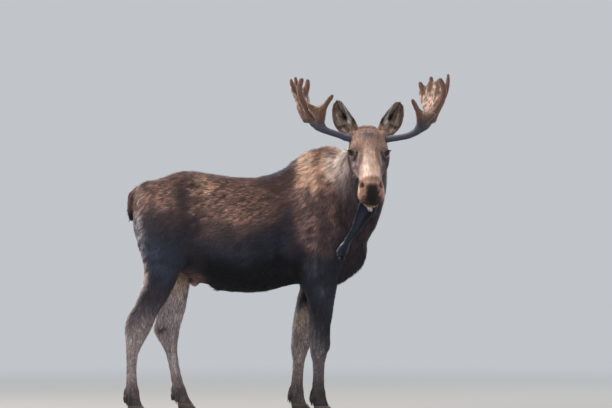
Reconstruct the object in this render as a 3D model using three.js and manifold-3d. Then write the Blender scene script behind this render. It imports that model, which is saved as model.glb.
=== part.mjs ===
// A bull moose in velvet, life size: standing square to +X with the head turned to its right, towards -Y.
// Millimetres, +Z up, heading +X, the animal's right side at -Y. The floor is z = 0 under the eight claws.
// The body is lofted through named stations (heights, widths, roundness), joined, then parted by thin cuts
// into the pieces a person would name. Antlers, eyes, ears, claws, tail and bell are solids of their own.
import * as THREE from "three";
import { mergeVertices } from "three/addons/utils/BufferGeometryUtils.js";
import Module from "manifold-3d";

const wasm = await Module();
wasm.setup();

// ---------------------------------------------------------------- driving dimensions
const GAP = 0.6; // width of the cuts between neighbouring pieces
const HEAD_PITCH = 40, // muzzle below the horizontal, degrees
  HEAD_YAW = 2.5, // muzzle swung towards the animal's left
  HEAD_AT = [772, -350, 1851]; // crown between the ears, on the head's axis
const EYE_R = 19, // eyeball radius
  EYE_S = 212, // distance of the eye from the crown along the head
  EYE_V = 8, // eye above the head's axis
  EYE_U = 113; // eye centre out from the midline
const RING = { trunk: 20, neck: 16, head: 18, leg: 10, tail: 7 };
const TRUNK_AT = [-748, -732, -690, -610, -510, -400, -300, -190, -60, 80, 195, 290, 370, 450, 520, 585, 645, 700, 750, 776];
const HEAD_AT_S = [-28, -8, 35, 90, 150, 205, 255, 310, 375, 450, 520, 575, 612, 638];


// Trunk: x, top, bottom, height of the greatest width, half width, roundness, pinch of the top, pinch of the belly.
const TRUNK = [
  [-748, 1420, 1244, 1330, 40, 2.0, 0.0, 0.0],
  [-736, 1478, 1186, 1320, 104, 2.0, 0.05, 0.0],
  [-710, 1512, 1138, 1300, 152, 2.1, 0.1, 0.0],
  [-650, 1543, 1064, 1270, 200, 2.2, 0.18, 0.1],
  [-585, 1557, 1008, 1250, 224, 2.3, 0.22, 0.15],
  [-520, 1576, 975, 1230, 234, 2.3, 0.26, 0.2],
  [-455, 1595, 945, 1210, 246, 2.3, 0.3, 0.2],
  [-390, 1603, 914, 1190, 250, 2.3, 0.3, 0.18],
  [-325, 1600, 882, 1170, 253, 2.3, 0.3, 0.15],
  [-260, 1591, 866, 1150, 264, 2.3, 0.3, 0.1],
  [-195, 1583, 834, 1130, 279, 2.3, 0.3, 0.08],
  [-130, 1575, 822, 1120, 292, 2.3, 0.32, 0.05],
  [-65, 1568, 817, 1115, 300, 2.3, 0.34, 0.05],
  [0, 1567, 815, 1115, 304, 2.3, 0.38, 0.05],
  [65, 1570, 818, 1120, 302, 2.3, 0.42, 0.08],
  [130, 1583, 826, 1125, 296, 2.3, 0.46, 0.12],
  [195, 1604, 842, 1130, 286, 2.3, 0.5, 0.2],
  [260, 1639, 858, 1135, 276, 2.2, 0.54, 0.26],
  [325, 1689, 868, 1140, 270, 2.2, 0.58, 0.3],
  [390, 1734, 868, 1145, 268, 2.2, 0.6, 0.34],
  [455, 1753, 862, 1150, 262, 2.2, 0.6, 0.36],
  [520, 1754, 858, 1145, 248, 2.2, 0.56, 0.36],
  [585, 1716, 872, 1140, 226, 2.2, 0.45, 0.34],
  [650, 1590, 912, 1140, 196, 2.2, 0.3, 0.3],
  [705, 1430, 958, 1140, 158, 2.1, 0.2, 0.25],
  [750, 1340, 1000, 1140, 116, 2.0, 0.1, 0.15],
  [776, 1240, 1060, 1140, 56, 2.0, 0.0, 0.0],
];

// Neck: centre x, y, z, then the extent up to the crest, down to the throat, half width, roundness, pinch of crest, pinch of throat.
const NECK = [
  [400, 0, 1320, 320, 330, 205, 2.2, 0.5, 0.3],
  [480, -12, 1385, 318, 350, 210, 2.2, 0.5, 0.3],
  [555, -40, 1440, 292, 372, 208, 2.2, 0.45, 0.3],
  [628, -92, 1490, 292, 372, 198, 2.2, 0.44, 0.3],
  [690, -165, 1540, 227, 352, 182, 2.2, 0.4, 0.28],
  [734, -245, 1592, 214, 318, 162, 2.2, 0.36, 0.26],
  [758, -325, 1652, 200, 278, 140, 2.2, 0.3, 0.26],
  [768, -395, 1700, 168, 220, 122, 2.1, 0.25, 0.25],
  [772, -440, 1722, 110, 150, 92, 2.1, 0.2, 0.2],
];

// Head: distance from the crown along the head, top, bottom, half width, roundness, pinch of the top, pinch of the jaw, height of the greatest width.
const HEAD = [
  [-28, 30, -60, 46, 2.0, 0.0, 0.0, -10],
  [-12, 52, -104, 76, 2.1, 0.1, 0.1, -15],
  [20, 66, -130, 100, 2.2, 0.12, 0.15, -15],
  [60, 74, -152, 116, 2.3, 0.1, 0.22, -10],
  [110, 78, -172, 126, 2.4, 0.12, 0.3, -14],
  [160, 76, -186, 131, 2.4, 0.16, 0.36, -22],
  [205, 68, -190, 135, 2.3, 0.28, 0.36, -40],
  [250, 58, -182, 129, 2.3, 0.36, 0.34, -52],
  [300, 52, -166, 112, 2.3, 0.36, 0.3, -48],
  [350, 51, -148, 91, 2.3, 0.3, 0.28, -38],
  [400, 55, -132, 75, 2.4, 0.22, 0.26, -30],
  [450, 62, -124, 75, 2.4, 0.16, 0.26, -26],
  [500, 66, -122, 80, 2.4, 0.12, 0.26, -26],
  [545, 62, -124, 84, 2.4, 0.1, 0.26, -30],
  [580, 48, -119, 84, 2.3, 0.08, 0.26, -36],
  [608, 26, -112, 76, 2.2, 0.05, 0.24, -42],
  [628, -2, -99, 56, 2.1, 0.0, 0.15, -50],
  [638, -26, -88, 28, 2.0, 0.0, 0.0, -55],
];

// Legs: height, front edge, rear edge, distance from the midline, half width across, roundness.
const FORE_RIGHT = [
  [1330, 560, 370, 150, 96, 2.2],
  [1157, 622, 330, 168, 106, 2.3],
  [1014, 610, 318, 172, 100, 2.3],
  [930, 590, 326, 170, 90, 2.3],
  [852, 579, 352, 168, 80, 2.3],
  [786, 567, 378, 166, 69, 2.3],
  [702, 555, 390, 165, 62, 2.3],
  [604, 539, 395, 165, 55, 2.3],
  [526, 534, 398, 165, 53, 2.4],
  [474, 531, 400, 165, 54, 2.4],
  [425, 516, 405, 165, 47, 2.4],
  [364, 501, 418, 165, 38, 2.3],
  [285, 496, 421, 165, 35, 2.3],
  [214, 497, 417, 165, 38, 2.3],
  [169, 505, 411, 165, 45, 2.3],
  [130, 511, 415, 165, 46, 2.3],
  [96, 522, 424, 165, 49, 2.3],
  [74, 530, 432, 165, 50, 2.3],
];
const FORE_LEFT = [
  [1330, 545, 355, 150, 96, 2.2],
  [1157, 600, 320, 168, 106, 2.3],
  [1014, 575, 308, 172, 100, 2.3],
  [930, 545, 312, 170, 90, 2.3],
  [852, 516, 331, 168, 79, 2.3],
  [786, 490, 319, 166, 67, 2.3],
  [702, 463, 303, 165, 60, 2.3],
  [604, 432, 287, 165, 54, 2.3],
  [526, 415, 281, 165, 53, 2.4],
  [474, 405, 277, 165, 54, 2.4],
  [425, 390, 279, 165, 47, 2.4],
  [364, 371, 288, 165, 38, 2.3],
  [285, 361, 286, 165, 35, 2.3],
  [214, 358, 278, 165, 38, 2.3],
  [169, 363, 269, 165, 45, 2.3],
  [130, 367, 271, 165, 46, 2.3],
  [96, 376, 278, 165, 49, 2.3],
  [74, 384, 286, 165, 50, 2.3],
];
const HIND_RIGHT = [
  [1400, -470, -690, 130, 84, 2.2],
  [1300, -385, -738, 142, 104, 2.3],
  [1190, -350, -723, 150, 116, 2.3],
  [1092, -372, -700, 155, 112, 2.3],
  [1014, -404, -679, 160, 102, 2.3],
  [949, -436, -674, 165, 90, 2.3],
  [884, -463, -680, 168, 78, 2.3],
  [819, -495, -700, 170, 66, 2.3],
  [767, -524, -722, 170, 58, 2.3],
  [715, -560, -750, 170, 51, 2.3],
  [670, -586, -776, 170, 47, 2.3],
  [624, -605, -793, 170, 46, 2.4],
  [572, -629, -797, 170, 45, 2.4],
  [520, -658, -793, 170, 42, 2.4],
  [468, -685, -789, 170, 38, 2.3],
  [410, -708, -786, 170, 35, 2.3],
  [312, -717, -785, 170, 33, 2.3],
  [228, -711, -787, 170, 36, 2.3],
  [176, -700, -794, 170, 43, 2.3],
  [130, -694, -787, 170, 45, 2.3],
  [96, -684, -777, 170, 48, 2.3],
  [74, -677, -770, 170, 49, 2.3],
];
const HIND_LEFT = [
  [1400, -455, -675, 130, 84, 2.2],
  [1300, -370, -725, 142, 104, 2.3],
  [1190, -332, -712, 150, 116, 2.3],
  [1092, -338, -682, 155, 112, 2.3],
  [1014, -352, -652, 160, 102, 2.3],
  [949, -366, -626, 165, 90, 2.3],
  [871, -379, -602, 168, 78, 2.3],
  [819, -388, -598, 170, 66, 2.3],
  [767, -397, -602, 170, 58, 2.3],
  [715, -406, -608, 170, 51, 2.3],
  [670, -419, -612, 170, 47, 2.3],
  [624, -433, -618, 170, 46, 2.4],
  [572, -446, -621, 170, 45, 2.4],
  [520, -454, -598, 170, 42, 2.4],
  [468, -461, -566, 170, 38, 2.3],
  [410, -461, -540, 170, 35, 2.3],
  [312, -446, -516, 170, 33, 2.3],
  [228, -426, -501, 170, 36, 2.3],
  [176, -406, -498, 170, 43, 2.3],
  [130, -390, -482, 170, 45, 2.3],
  [96, -372, -464, 170, 48, 2.3],
  [74, -364, -456, 170, 49, 2.3],
];

// Muscle and bone under the coat: capsule from a to b, spread, and how far it lifts (or, negative, sinks) the surface. Mirrored across the body where the last value is 1.
const FORM = [
  // shoulder blade and its crest
  [[430, -215, 1600], [560, -235, 1240], 70, 20, 1],
  // point of the shoulder
  [[600, -200, 1180], [600, -200, 1140], 70, 18, 1],
  // triceps
  [[400, -245, 1230], [360, -235, 1060], 70, 14, 1],
  // hollow behind the elbow and shoulder
  [[272, -280, 1330], [262, -270, 980], 42, -16, 1],
  // hollow between neck and shoulder
  [[590, -230, 1560], [680, -215, 1260], 45, -10, 1],
  // ribs swell
  [[60, -300, 1120], [-60, -300, 1100], 150, 8, 1],
  // flank hollow
  [[-290, -260, 1380], [-300, -265, 1220], 62, -18, 1],
  // point of the hip
  [[-392, -215, 1500], [-372, -220, 1470], 46, 14, 1],
  // hollow between hip and rump
  [[-520, -215, 1465], [-560, -215, 1440], 55, -8, 1],
  // thigh muscle
  [[-560, -240, 1310], [-590, -255, 1130], 105, 16, 1],
  // stifle fold
  [[-385, -245, 1060], [-420, -235, 1010], 55, 10, 1],
  // chest keel hollow between the fore legs
  [[640, -70, 900], [700, -60, 960], 40, 8, 1],
];

// Antlers: limbs are chains of [x, y, z, radius]; palms and webs are flattened, [x, y, z, half breadth, half thickness], and spread along a direction.
const ANTLER_RIGHT = {
  beam: [
    [710, -418, 1804, 27],
    [640, -426, 1818, 24.5],
    [582, -430, 1838, 22],
    [524, -430, 1857, 22],
    [473, -424, 1881, 27],
    [431, -412, 1918, 31],
  ],
  front: [
    [431, -412, 1918, 29],
    [403, -422, 1970, 24],
    [377, -430, 2015, 22],
    [351, -432, 2060, 20.5],
    [337, -425, 2101, 19.5],
    [335, -412, 2143, 19],
    [345, -400, 2177, 18],
    [352, -393, 2199, 12.5],
  ],
  palm: {
    spread: [0.5, 0.86, 0.1],
    path: [
      [396, -398, 1924, 50, 27],
      [364, -366, 1990, 68, 19],
      [351, -330, 2055, 82, 14],
      [338, -298, 2107, 90, 11],
      [332, -274, 2150, 78, 9],
    ],
  },
  tines: [
    [[322, -345, 2080, 17], [297, -345, 2125, 15.5], [286, -338, 2164, 13.5], [281, -330, 2196, 9]],
    [[332, -310, 2113, 16], [316, -296, 2165, 14.5], [308, -284, 2210, 9.5]],
    [[361, -280, 2069, 20], [379, -246, 2121, 19.5], [386, -228, 2160, 18.5], [388, -216, 2196, 12]],
  ],
  web: {
    spread: [1, 0.1, 0],
    path: [
      [467, -425, 1880, 28, 27],
      [469, -448, 1925, 27, 23],
      [460, -480, 1969, 38, 19],
      [444, -500, 2011, 50, 15],
    ],
  },
  fork: [
    [[470, -465, 1944, 21], [486, -500, 1991, 20], [506, -532, 2032, 18], [530, -556, 2065, 16], [549, -571, 2089, 11]],
    [[441, -485, 1982, 18], [412, -496, 2011, 16.5], [388, -499, 2031, 11]],
  ],
};
const ANTLER_LEFT = {
  beam: [
    [845, -416, 1800, 26],
    [915, -424, 1811, 22.5],
    [979, -428, 1820, 20.5],
    [1037, -428, 1833, 21.5],
    [1088, -420, 1860, 25.5],
    [1146, -408, 1908, 31],
  ],
  front: [
    [1146, -408, 1908, 29],
    [1188, -418, 1957, 24],
    [1223, -427, 2005, 22],
    [1247, -430, 2053, 20.5],
    [1259, -424, 2101, 20],
    [1257, -412, 2143, 19.5],
    [1243, -400, 2177, 18],
    [1233, -393, 2197, 12.5],
  ],
  palm: {
    spread: [-0.68, 0.73, 0.05],
    path: [
      [1170, -398, 1922, 46, 27],
      [1182, -370, 1984, 58, 19],
      [1182, -336, 2042, 76, 14],
      [1179, -304, 2097, 94, 11],
      [1175, -280, 2142, 98, 9],
      [1173, -271, 2160, 88, 8],
    ],
  },
  tines: [
    [[1217, -390, 2028, 18], [1256, -372, 2070, 17], [1278, -342, 2119, 15.5], [1289, -306, 2174, 14.5], [1293, -276, 2229, 9.5]],
    [[1138, -252, 2106, 19], [1122, -238, 2145, 18], [1112, -226, 2180, 12]],
    [[1181, -290, 2118, 18], [1183, -272, 2170, 17.5], [1184, -261, 2213, 12]],
    [[1222, -340, 2092, 17], [1233, -322, 2150, 16.5], [1237, -310, 2192, 11]],
  ],
  web: {
    spread: [1, -0.1, 0],
    path: [
      [1114, -420, 1884, 30, 27],
      [1121, -444, 1919, 32, 23],
      [1134, -474, 1950, 44, 18],
      [1148, -492, 1968, 50, 14],
    ],
  },
  fork: [
    [[1113, -450, 1919, 22], [1103, -486, 1960, 20], [1087, -520, 1998, 18], [1069, -546, 2032, 16], [1053, -564, 2061, 11]],
    [[1158, -470, 1944, 19], [1183, -484, 1962, 16], [1204, -488, 1971, 10.5]],
  ],
};

const TAIL = [
  [-702, 0, 1494, 20, 26],
  [-736, 0, 1470, 24, 31],
  [-752, 0, 1434, 25, 31],
  [-758, 0, 1396, 25, 30],
  [-760, 0, 1356, 24, 27],
  [-759, 0, 1325, 18, 20],
  [-758, 0, 1306, 6, 7],
];
// Bell: centre x, y, z, half breadth, half thickness
const BELL = [
  [800, -470, 1525, 44, 24],
  [796, -480, 1458, 62, 24],
  [776, -476, 1388, 66, 22],
  [738, -462, 1312, 52, 20],
  [698, -444, 1237, 37, 19],
  [650, -427, 1166, 27, 18],
  [627, -416, 1124, 35, 18],
  [614, -410, 1095, 40, 15],
  [611, -407, 1072, 30, 11],
  [610, -406, 1055, 9, 6],
];

// ---------------------------------------------------------------- helpers
const V3 = (a) => new THREE.Vector3(...a);
const rad = THREE.MathUtils.degToRad;

// Shape-preserving cubic through stations keyed by their first value; returns every other column at t.
function stations(rows) {
  const t = rows.map((r) => r[0]),
    n = rows.length;
  const up = t[n - 1] > t[0] ? 1 : -1;
  const cols = rows[0].length - 1;
  const slope = [];
  for (let c = 1; c <= cols; c++) {
    const d = [],
      m = new Array(n);
    for (let i = 0; i < n - 1; i++) d.push((rows[i + 1][c] - rows[i][c]) / (t[i + 1] - t[i]));
    m[0] = d[0];
    m[n - 1] = d[n - 2];
    for (let i = 1; i < n - 1; i++) {
      if (d[i - 1] * d[i] <= 0) m[i] = 0;
      else {
        const h0 = Math.abs(t[i] - t[i - 1]),
          h1 = Math.abs(t[i + 1] - t[i]);
        const w1 = 2 * h1 + h0,
          w2 = h1 + 2 * h0;
        m[i] = (w1 + w2) / (w1 / d[i - 1] + w2 / d[i]);
      }
    }
    slope.push(m);
  }
  return (x) => {
    let i = 0;
    while (i < n - 2 && (x - t[i + 1]) * up > 0) i++;
    const h = t[i + 1] - t[i],
      q = Math.min(1, Math.max(0, (x - t[i]) / h));
    const h00 = (1 + 2 * q) * (1 - q) ** 2,
      h10 = q * (1 - q) ** 2,
      h01 = q * q * (3 - 2 * q),
      h11 = q * q * (q - 1);
    return slope.map((m, c) => h00 * rows[i][c + 1] + h10 * h * m[i] + h01 * rows[i + 1][c + 1] + h11 * h * m[i + 1]);
  };
}

const FORMS = FORM.flatMap(([a, b, s, h, both]) => {
  const one = { a: V3(a), b: V3(b), s, h };
  return both ? [one, { a: V3([a[0], -a[1], a[2]]), b: V3([b[0], -b[1], b[2]]), s, h }] : [one];
});
// How far muscle and bone move the surface at p.
function lift(p) {
  let sum = 0;
  for (const { a, b, s, h } of FORMS) {
    const ab = b.clone().sub(a),
      l2 = Math.max(ab.lengthSq(), 1e-9);
    const q = Math.min(1, Math.max(0, p.clone().sub(a).dot(ab) / l2));
    const d = a.clone().addScaledVector(ab, q).distanceTo(p);
    sum += h * Math.exp(-((d / s) ** 2));
  }
  return sum;
}

// A point of a section: superellipse of half width w, extents up (a) and down (b), roundness n, narrowed towards top and bottom.
function sectionPoint(sec, angle) {
  const c = Math.cos(angle),
    s = Math.sin(angle),
    e = 2 / sec.n;
  let u = Math.sign(c) * Math.abs(c) ** e,
    v = Math.sign(s) * Math.abs(s) ** e;
  const share = Math.abs(v),
    k = v > 0 ? sec.kt : sec.kb;
  u *= 1 - k * share * share * (3 - 2 * share);
  return sec.c.clone().addScaledVector(sec.U, u * sec.w).addScaledVector(sec.V, v * (v > 0 ? sec.a : sec.b));
}

// A closed skin through sections, one ring each, with a point at either end.
function loft(sections, ring, shape = true) {
  const pts = [],
    idx = [];
  for (const sec of sections)
    for (let j = 0; j < ring; j++) {
      const p = sectionPoint(sec, (2 * Math.PI * (j + 0.5)) / ring);
      if (shape) {
        const out = p.clone().sub(sec.c);
        const r = out.length();
        if (r > 1e-6) p.addScaledVector(out.multiplyScalar(1 / r), lift(p) * Math.min(1, r / 60));
      }
      pts.push(p.x, p.y, p.z);
    }
  const n = sections.length;
  for (let i = 0; i < n - 1; i++)
    for (let j = 0; j < ring; j++) {
      const a = i * ring + j,
        b = i * ring + ((j + 1) % ring),
        c = a + ring,
        d = b + ring;
      if ((i + j) % 2) idx.push(a, b, d, a, d, c);
      else idx.push(a, b, c, b, d, c);
    }
  for (const [i, flip] of [[0, true], [n - 1, false]]) {
    const m = pts.length / 3,
      c = sections[i].c;
    pts.push(c.x, c.y, c.z);
    for (let j = 0; j < ring; j++) {
      const a = i * ring + j,
        b = i * ring + ((j + 1) % ring);
      idx.push(...(flip ? [m, b, a] : [m, a, b]));
    }
  }
  const g = new THREE.BufferGeometry();
  g.setAttribute("position", new THREE.Float32BufferAttribute(pts, 3));
  g.setIndex(idx);
  return g;
}

function solid(geometry, matrix) {
  let g = geometry.clone();
  if (matrix) g.applyMatrix4(matrix);
  g.deleteAttribute("normal");
  g.deleteAttribute("uv");
  g = mergeVertices(g, 1e-3);
  const made = (tri) =>
    new wasm.Manifold(new wasm.Mesh({ numProp: 3, vertProperties: new Float32Array(g.attributes.position.array), triVerts: tri }));
  const tri = new Uint32Array(g.index.array);
  let m = made(tri);
  if (m.volume() < 0) {
    for (let i = 0; i < tri.length; i += 3) [tri[i + 1], tri[i + 2]] = [tri[i + 2], tri[i + 1]];
    m = made(tri);
  }
  return m;
}
const join = (list) => list.reduce((a, b) => a.add(b));
const largest = (s) => s.decompose().sort((a, b) => b.volume() - a.volume())[0];

// A slab of space used to part the body: a long box whose near face passes through `at` with outward direction `dir`.
function slab(at, dir, deep = 900, wide = 1400) {
  const d = V3(dir).normalize();
  const g = new THREE.BoxGeometry(wide, wide, deep).translate(0, 0, deep / 2);
  const q = new THREE.Quaternion().setFromUnitVectors(new THREE.Vector3(0, 0, 1), d);
  return solid(g.applyQuaternion(q).translate(...at));
}
// A box between two corners.
function block(lo, hi) {
  const g = new THREE.BoxGeometry(hi[0] - lo[0], hi[1] - lo[1], hi[2] - lo[2]);
  return solid(g.translate((hi[0] + lo[0]) / 2, (hi[1] + lo[1]) / 2, (hi[2] + lo[2]) / 2));
}

// ---------------------------------------------------------------- the lofts
const X = V3([1, 0, 0]),
  Y = V3([0, 1, 0]),
  Z = V3([0, 0, 1]);

function trunkSections(grow = 0) {
  const at = stations(TRUNK);
  return TRUNK_AT.map((x) => {
    const [top, bottom, mid, w, n, kt, kb] = at(x);
    return { c: V3([x, 0, mid]), U: Y, V: Z, w: w + grow, a: top - mid + grow, b: mid - bottom + grow, n, kt, kb };
  });
}

// Sections square to a curve through the stations' centres, with V as near to `up` as that allows.
function alongCurve(rows, count, up, read) {
  const curve = new THREE.CatmullRomCurve3(rows.map((r) => V3(r.slice(0, 3))), false, "centripetal");
  const at = stations(rows.map((r, i) => [i, ...r.slice(3)]));
  const out = [];
  for (let i = 0; i < count; i++) {
    const t = i / (count - 1);
    const T = curve.getTangent(t).normalize();
    const V = up.clone().addScaledVector(T, -up.dot(T)).normalize();
    const U = T.clone().cross(V).normalize();
    out.push({ c: curve.getPoint(t), U, V, T, ...read(at(t * (rows.length - 1))) });
  }
  return out;
}

function neckSections(count, grow = 0) {
  return alongCurve(NECK, count, Z, ([a, b, w, n, kt, kb]) => ({ a: a + grow, b: b + grow, w: w + grow, n, kt, kb }));
}

// The head's own frame: D to the muzzle, N up from the forehead, L to the animal's left.
const headD = V3([
  Math.sin(rad(HEAD_YAW)) * Math.cos(rad(HEAD_PITCH)),
  -Math.cos(rad(HEAD_YAW)) * Math.cos(rad(HEAD_PITCH)),
  -Math.sin(rad(HEAD_PITCH)),
]);
const headL = V3([Math.cos(rad(HEAD_YAW)), Math.sin(rad(HEAD_YAW)), 0]);
const headN = headD.clone().cross(headL).normalize();
const inHead = (s, u, v) =>
  V3(HEAD_AT).addScaledVector(headD, s).addScaledVector(headL, u).addScaledVector(headN, v);

function headSections(grow = 0) {
  const at = stations(HEAD);
  return HEAD_AT_S.map((t) => {
    const [top, bottom, w, n, kt, kb, mid] = at(t);
    return { c: inHead(t, 0, mid), U: headL, V: headN, w: w + grow, a: top - mid + grow, b: mid - bottom + grow, n, kt, kb };
  });
}

function legSections(rows, side) {
  const at = stations(rows);
  const z0 = rows[0][0],
    z1 = rows[rows.length - 1][0];
  const joint = side.joint;
  // stations crowd at the joint and the fetlock, where the outline turns
  const heights = [z0, (z0 + 950) / 2, 950, 850, 760, joint + 150, joint + 70, joint, joint - 60, joint - 130, 250, 180, 130, z1];
  return heights.map((z) => {
    const [front, rear, off, w, n] = at(z);
    return { c: V3([(front + rear) / 2, side.y * off, z]), U: Y, V: X, w, a: (front - rear) / 2, b: (front - rear) / 2, n, kt: 0.12, kb: 0.2 };
  });
}

// A round limb along a path of [x, y, z, radius]; a free end is blunt.
function limbTube(path, ring, count, round = true) {
  const up = V3([0.2, -1, 0.1]).normalize();
  const curve = new THREE.CatmullRomCurve3(path.map((r) => V3(r.slice(0, 3))), false, "centripetal");
  const at = stations(path.map((r, i) => [i, r[3]]));
  const secs = [];
  const blunt = (0.8 * path[path.length - 1][3]) / curve.getLength();
  for (let i = 0; i < count; i++) {
    const t = round && i === count - 1 ? 1 : round ? (i / (count - 2)) * (1 - blunt) : i / (count - 1);
    const T = curve.getTangent(t).normalize();
    const V = up.clone().addScaledVector(T, -up.dot(T)).normalize();
    const r = at(t * (path.length - 1))[0] * (round && t === 1 ? 0.5 : 1);
    secs.push({ c: curve.getPoint(t), U: T.clone().cross(V), V, w: r, a: r, b: r, n: 2, kt: 0, kb: 0 });
  }
  return solid(loft(secs, ring, false));
}

function palmPlate({ spread, path }, ring, count) {
  const S = V3(spread).normalize();
  const curve = new THREE.CatmullRomCurve3(path.map((r) => V3(r.slice(0, 3))), false, "centripetal");
  const at = stations(path.map((r, i) => [i, r[3], r[4]]));
  const secs = [];
  for (let i = 0; i < count; i++) {
    const t = i / (count - 1);
    const T = curve.getTangent(t).normalize();
    const U = S.clone().addScaledVector(T, -S.dot(T)).normalize();
    const [w, h] = at(t * (path.length - 1));
    secs.push({ c: curve.getPoint(t), U, V: T.clone().cross(U), w, a: h, b: h, n: 2.3, kt: 0, kb: 0 });
  }
  return solid(loft(secs, ring, false));
}

// ---------------------------------------------------------------- ears
// A cupped leaf: base, tip, the direction it opens to, breadth; wall thick enough to carry its coat.
const EAR = { breadth: 62, wall: 9, cupBase: 2.5, cupTip: 0.9 };
const EAR_RIGHT = { base: [682, -372, 1846], tip: [572, -352, 2060], open: [0.12, -1, 0.05], bow: [-16, 0, -6] };
const EAR_LEFT = { base: [874, -366, 1848], tip: [982, -346, 2051], open: [-0.12, -1, 0.05], bow: [13, 0, 2] };
function earSolid({ base, tip, open, bow }) {
  const A = V3(base),
    T = V3(tip).sub(A),
    length = T.length();
  T.normalize();
  const O = V3(open);
  O.addScaledVector(T, -O.dot(T)).normalize();
  const S = T.clone().cross(O).normalize();
  const B = V3(bow);
  const rows = 9,
    cols = 7;
  const pts = [],
    idx = [];
  const leaf = (t) => Math.max(0.03, Math.sin(Math.PI * Math.min(1, 0.16 + 0.84 * t) ** 0.86) ** 0.53);
  const surface = (t, q, inset) => {
    const cup = EAR.cupBase + (EAR.cupTip - EAR.cupBase) * Math.min(1, t * 1.25) ** 0.7;
    const half = EAR.breadth * leaf(t) * (t > 0.94 ? Math.max(0.25, (1 - t) / 0.06) : 1);
    const r = half / Math.sin(Math.min(cup, Math.PI / 2)) ; // radius that gives this breadth
    const R = Math.max(4, r - inset);
    const a = q * cup;
    const back = 22 * Math.sin(Math.PI * t) - 10 * t;
    return A.clone()
      .addScaledVector(T, t * length)
      .addScaledVector(B, Math.sin(Math.PI * t))
      .addScaledVector(S, Math.sin(a) * R)
      .addScaledVector(O, -Math.cos(a) * R + r * Math.cos(cup) * 0.6 - back);
  };
  for (const inset of [0, EAR.wall])
    for (let i = 0; i < rows; i++)
      for (let j = 0; j < cols; j++) {
        let t = i / (rows - 1);
        if (inset) t = 0.05 + t * 0.92;
        const p = surface(t, (j / (cols - 1)) * 2 - 1, inset);
        pts.push(p.x, p.y, p.z);
      }
  const at = (k, i, j) => (k * rows + i) * cols + j;
  for (let i = 0; i < rows - 1; i++)
    for (let j = 0; j < cols - 1; j++)
      for (const k of [0, 1]) {
        const a = at(k, i, j),
          b = at(k, i, j + 1),
          c = at(k, i + 1, j),
          d = at(k, i + 1, j + 1);
        idx.push(...(k ? [a, c, b, b, c, d] : [a, b, c, b, d, c]));
      }
  const rim = [];
  for (let j = 0; j < cols - 1; j++) rim.push([0, j]);
  for (let i = 0; i < rows - 1; i++) rim.push([i, cols - 1]);
  for (let j = cols - 1; j > 0; j--) rim.push([rows - 1, j]);
  for (let i = rows - 1; i > 0; i--) rim.push([i, 0]);
  rim.forEach(([i, j], k) => {
    const [i2, j2] = rim[(k + 1) % rim.length];
    const a = at(0, i, j),
      b = at(0, i2, j2),
      c = at(1, i, j),
      d = at(1, i2, j2);
    idx.push(a, c, b, b, c, d);
  });
  const g = new THREE.BufferGeometry();
  g.setAttribute("position", new THREE.Float32BufferAttribute(pts, 3));
  g.setIndex(idx);
  return solid(g);
}

// ---------------------------------------------------------------- claws
const CLAW = { length: 152, width: 60, height: 88, cleft: 4, setBack: 33, coronet: 0.64 };
// Main claw: pointed at the toe, flat sole at z = 0. The coronet sits further back than the sole.
function clawSolid(x, y, side, size = 1) {
  const L = CLAW.length * size,
    W = CLAW.width * size,
    H = CLAW.height;
  const secs = 3,
    ring = 10;
  const pts = [],
    idx = [];
  for (let i = 0; i < secs; i++) {
    const q = i / (secs - 1);
    const z = q * H;
    const len = L * (1 - (1 - CLAW.coronet) * q),
      wid = W * (1 - 0.1 * q) * (i === 0 ? 0.95 : 1);
    const shift = -CLAW.setBack * q;
    for (let j = 0; j < ring; j++) {
      const a = (2 * Math.PI * j) / ring;
      const c = Math.cos(a),
        s = Math.sin(a);
      const fore = c > 0 ? 0.62 : 0.38;
      const px = x + shift + c * len * fore + (i === 0 ? -2 : 0);
      const taper = c > 0 ? Math.sqrt(Math.max(0, 1 - (0.9 * c) ** 2.2)) / Math.max(0.2, Math.sqrt(1 - c * c) || 1) : 1;
      let half = (wid / 2) * Math.abs(s) * Math.min(1.15, taper);
      // the inner wall, along the cleft, is nearly flat
      const inner = Math.sign(s) !== Math.sign(side);
      if (inner) half *= 0.72;
      pts.push(px, y + Math.sign(s) * half, z);
    }
  }
  for (let i = 0; i < secs - 1; i++)
    for (let j = 0; j < ring; j++) {
      const a = i * ring + j,
        b = i * ring + ((j + 1) % ring),
        c = a + ring,
        d = b + ring;
      idx.push(a, b, c, b, d, c);
    }
  for (const [i, flip] of [[0, true], [secs - 1, false]]) {
    const m = pts.length / 3;
    pts.push(x - CLAW.setBack * (i ? 1 : 0), y, i ? H : 0);
    for (let j = 0; j < ring; j++) {
      const a = i * ring + j,
        b = i * ring + ((j + 1) % ring);
      idx.push(...(flip ? [m, b, a] : [m, a, b]));
    }
  }
  const g = new THREE.BufferGeometry();
  g.setAttribute("position", new THREE.Float32BufferAttribute(pts, 3));
  g.setIndex(idx);
  return solid(g);
}
// Dew claw: a blunt cone hanging behind the fetlock.
function dewSolid(x, y, z, side) {
  const profile = [
    [0, -26],
    [6, -24],
    [11, -12],
    [15, 4],
    [14, 18],
    [0, 24],
  ].map(([r, h]) => new THREE.Vector2(r, h));
  const g = new THREE.LatheGeometry(profile, 6);
  const m = new THREE.Matrix4().makeRotationFromEuler(new THREE.Euler(rad(90), rad(28), rad(side * 8)));
  g.applyMatrix4(m).scale(1, 0.95, 1).translate(x, y, z);
  return solid(g);
}

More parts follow.
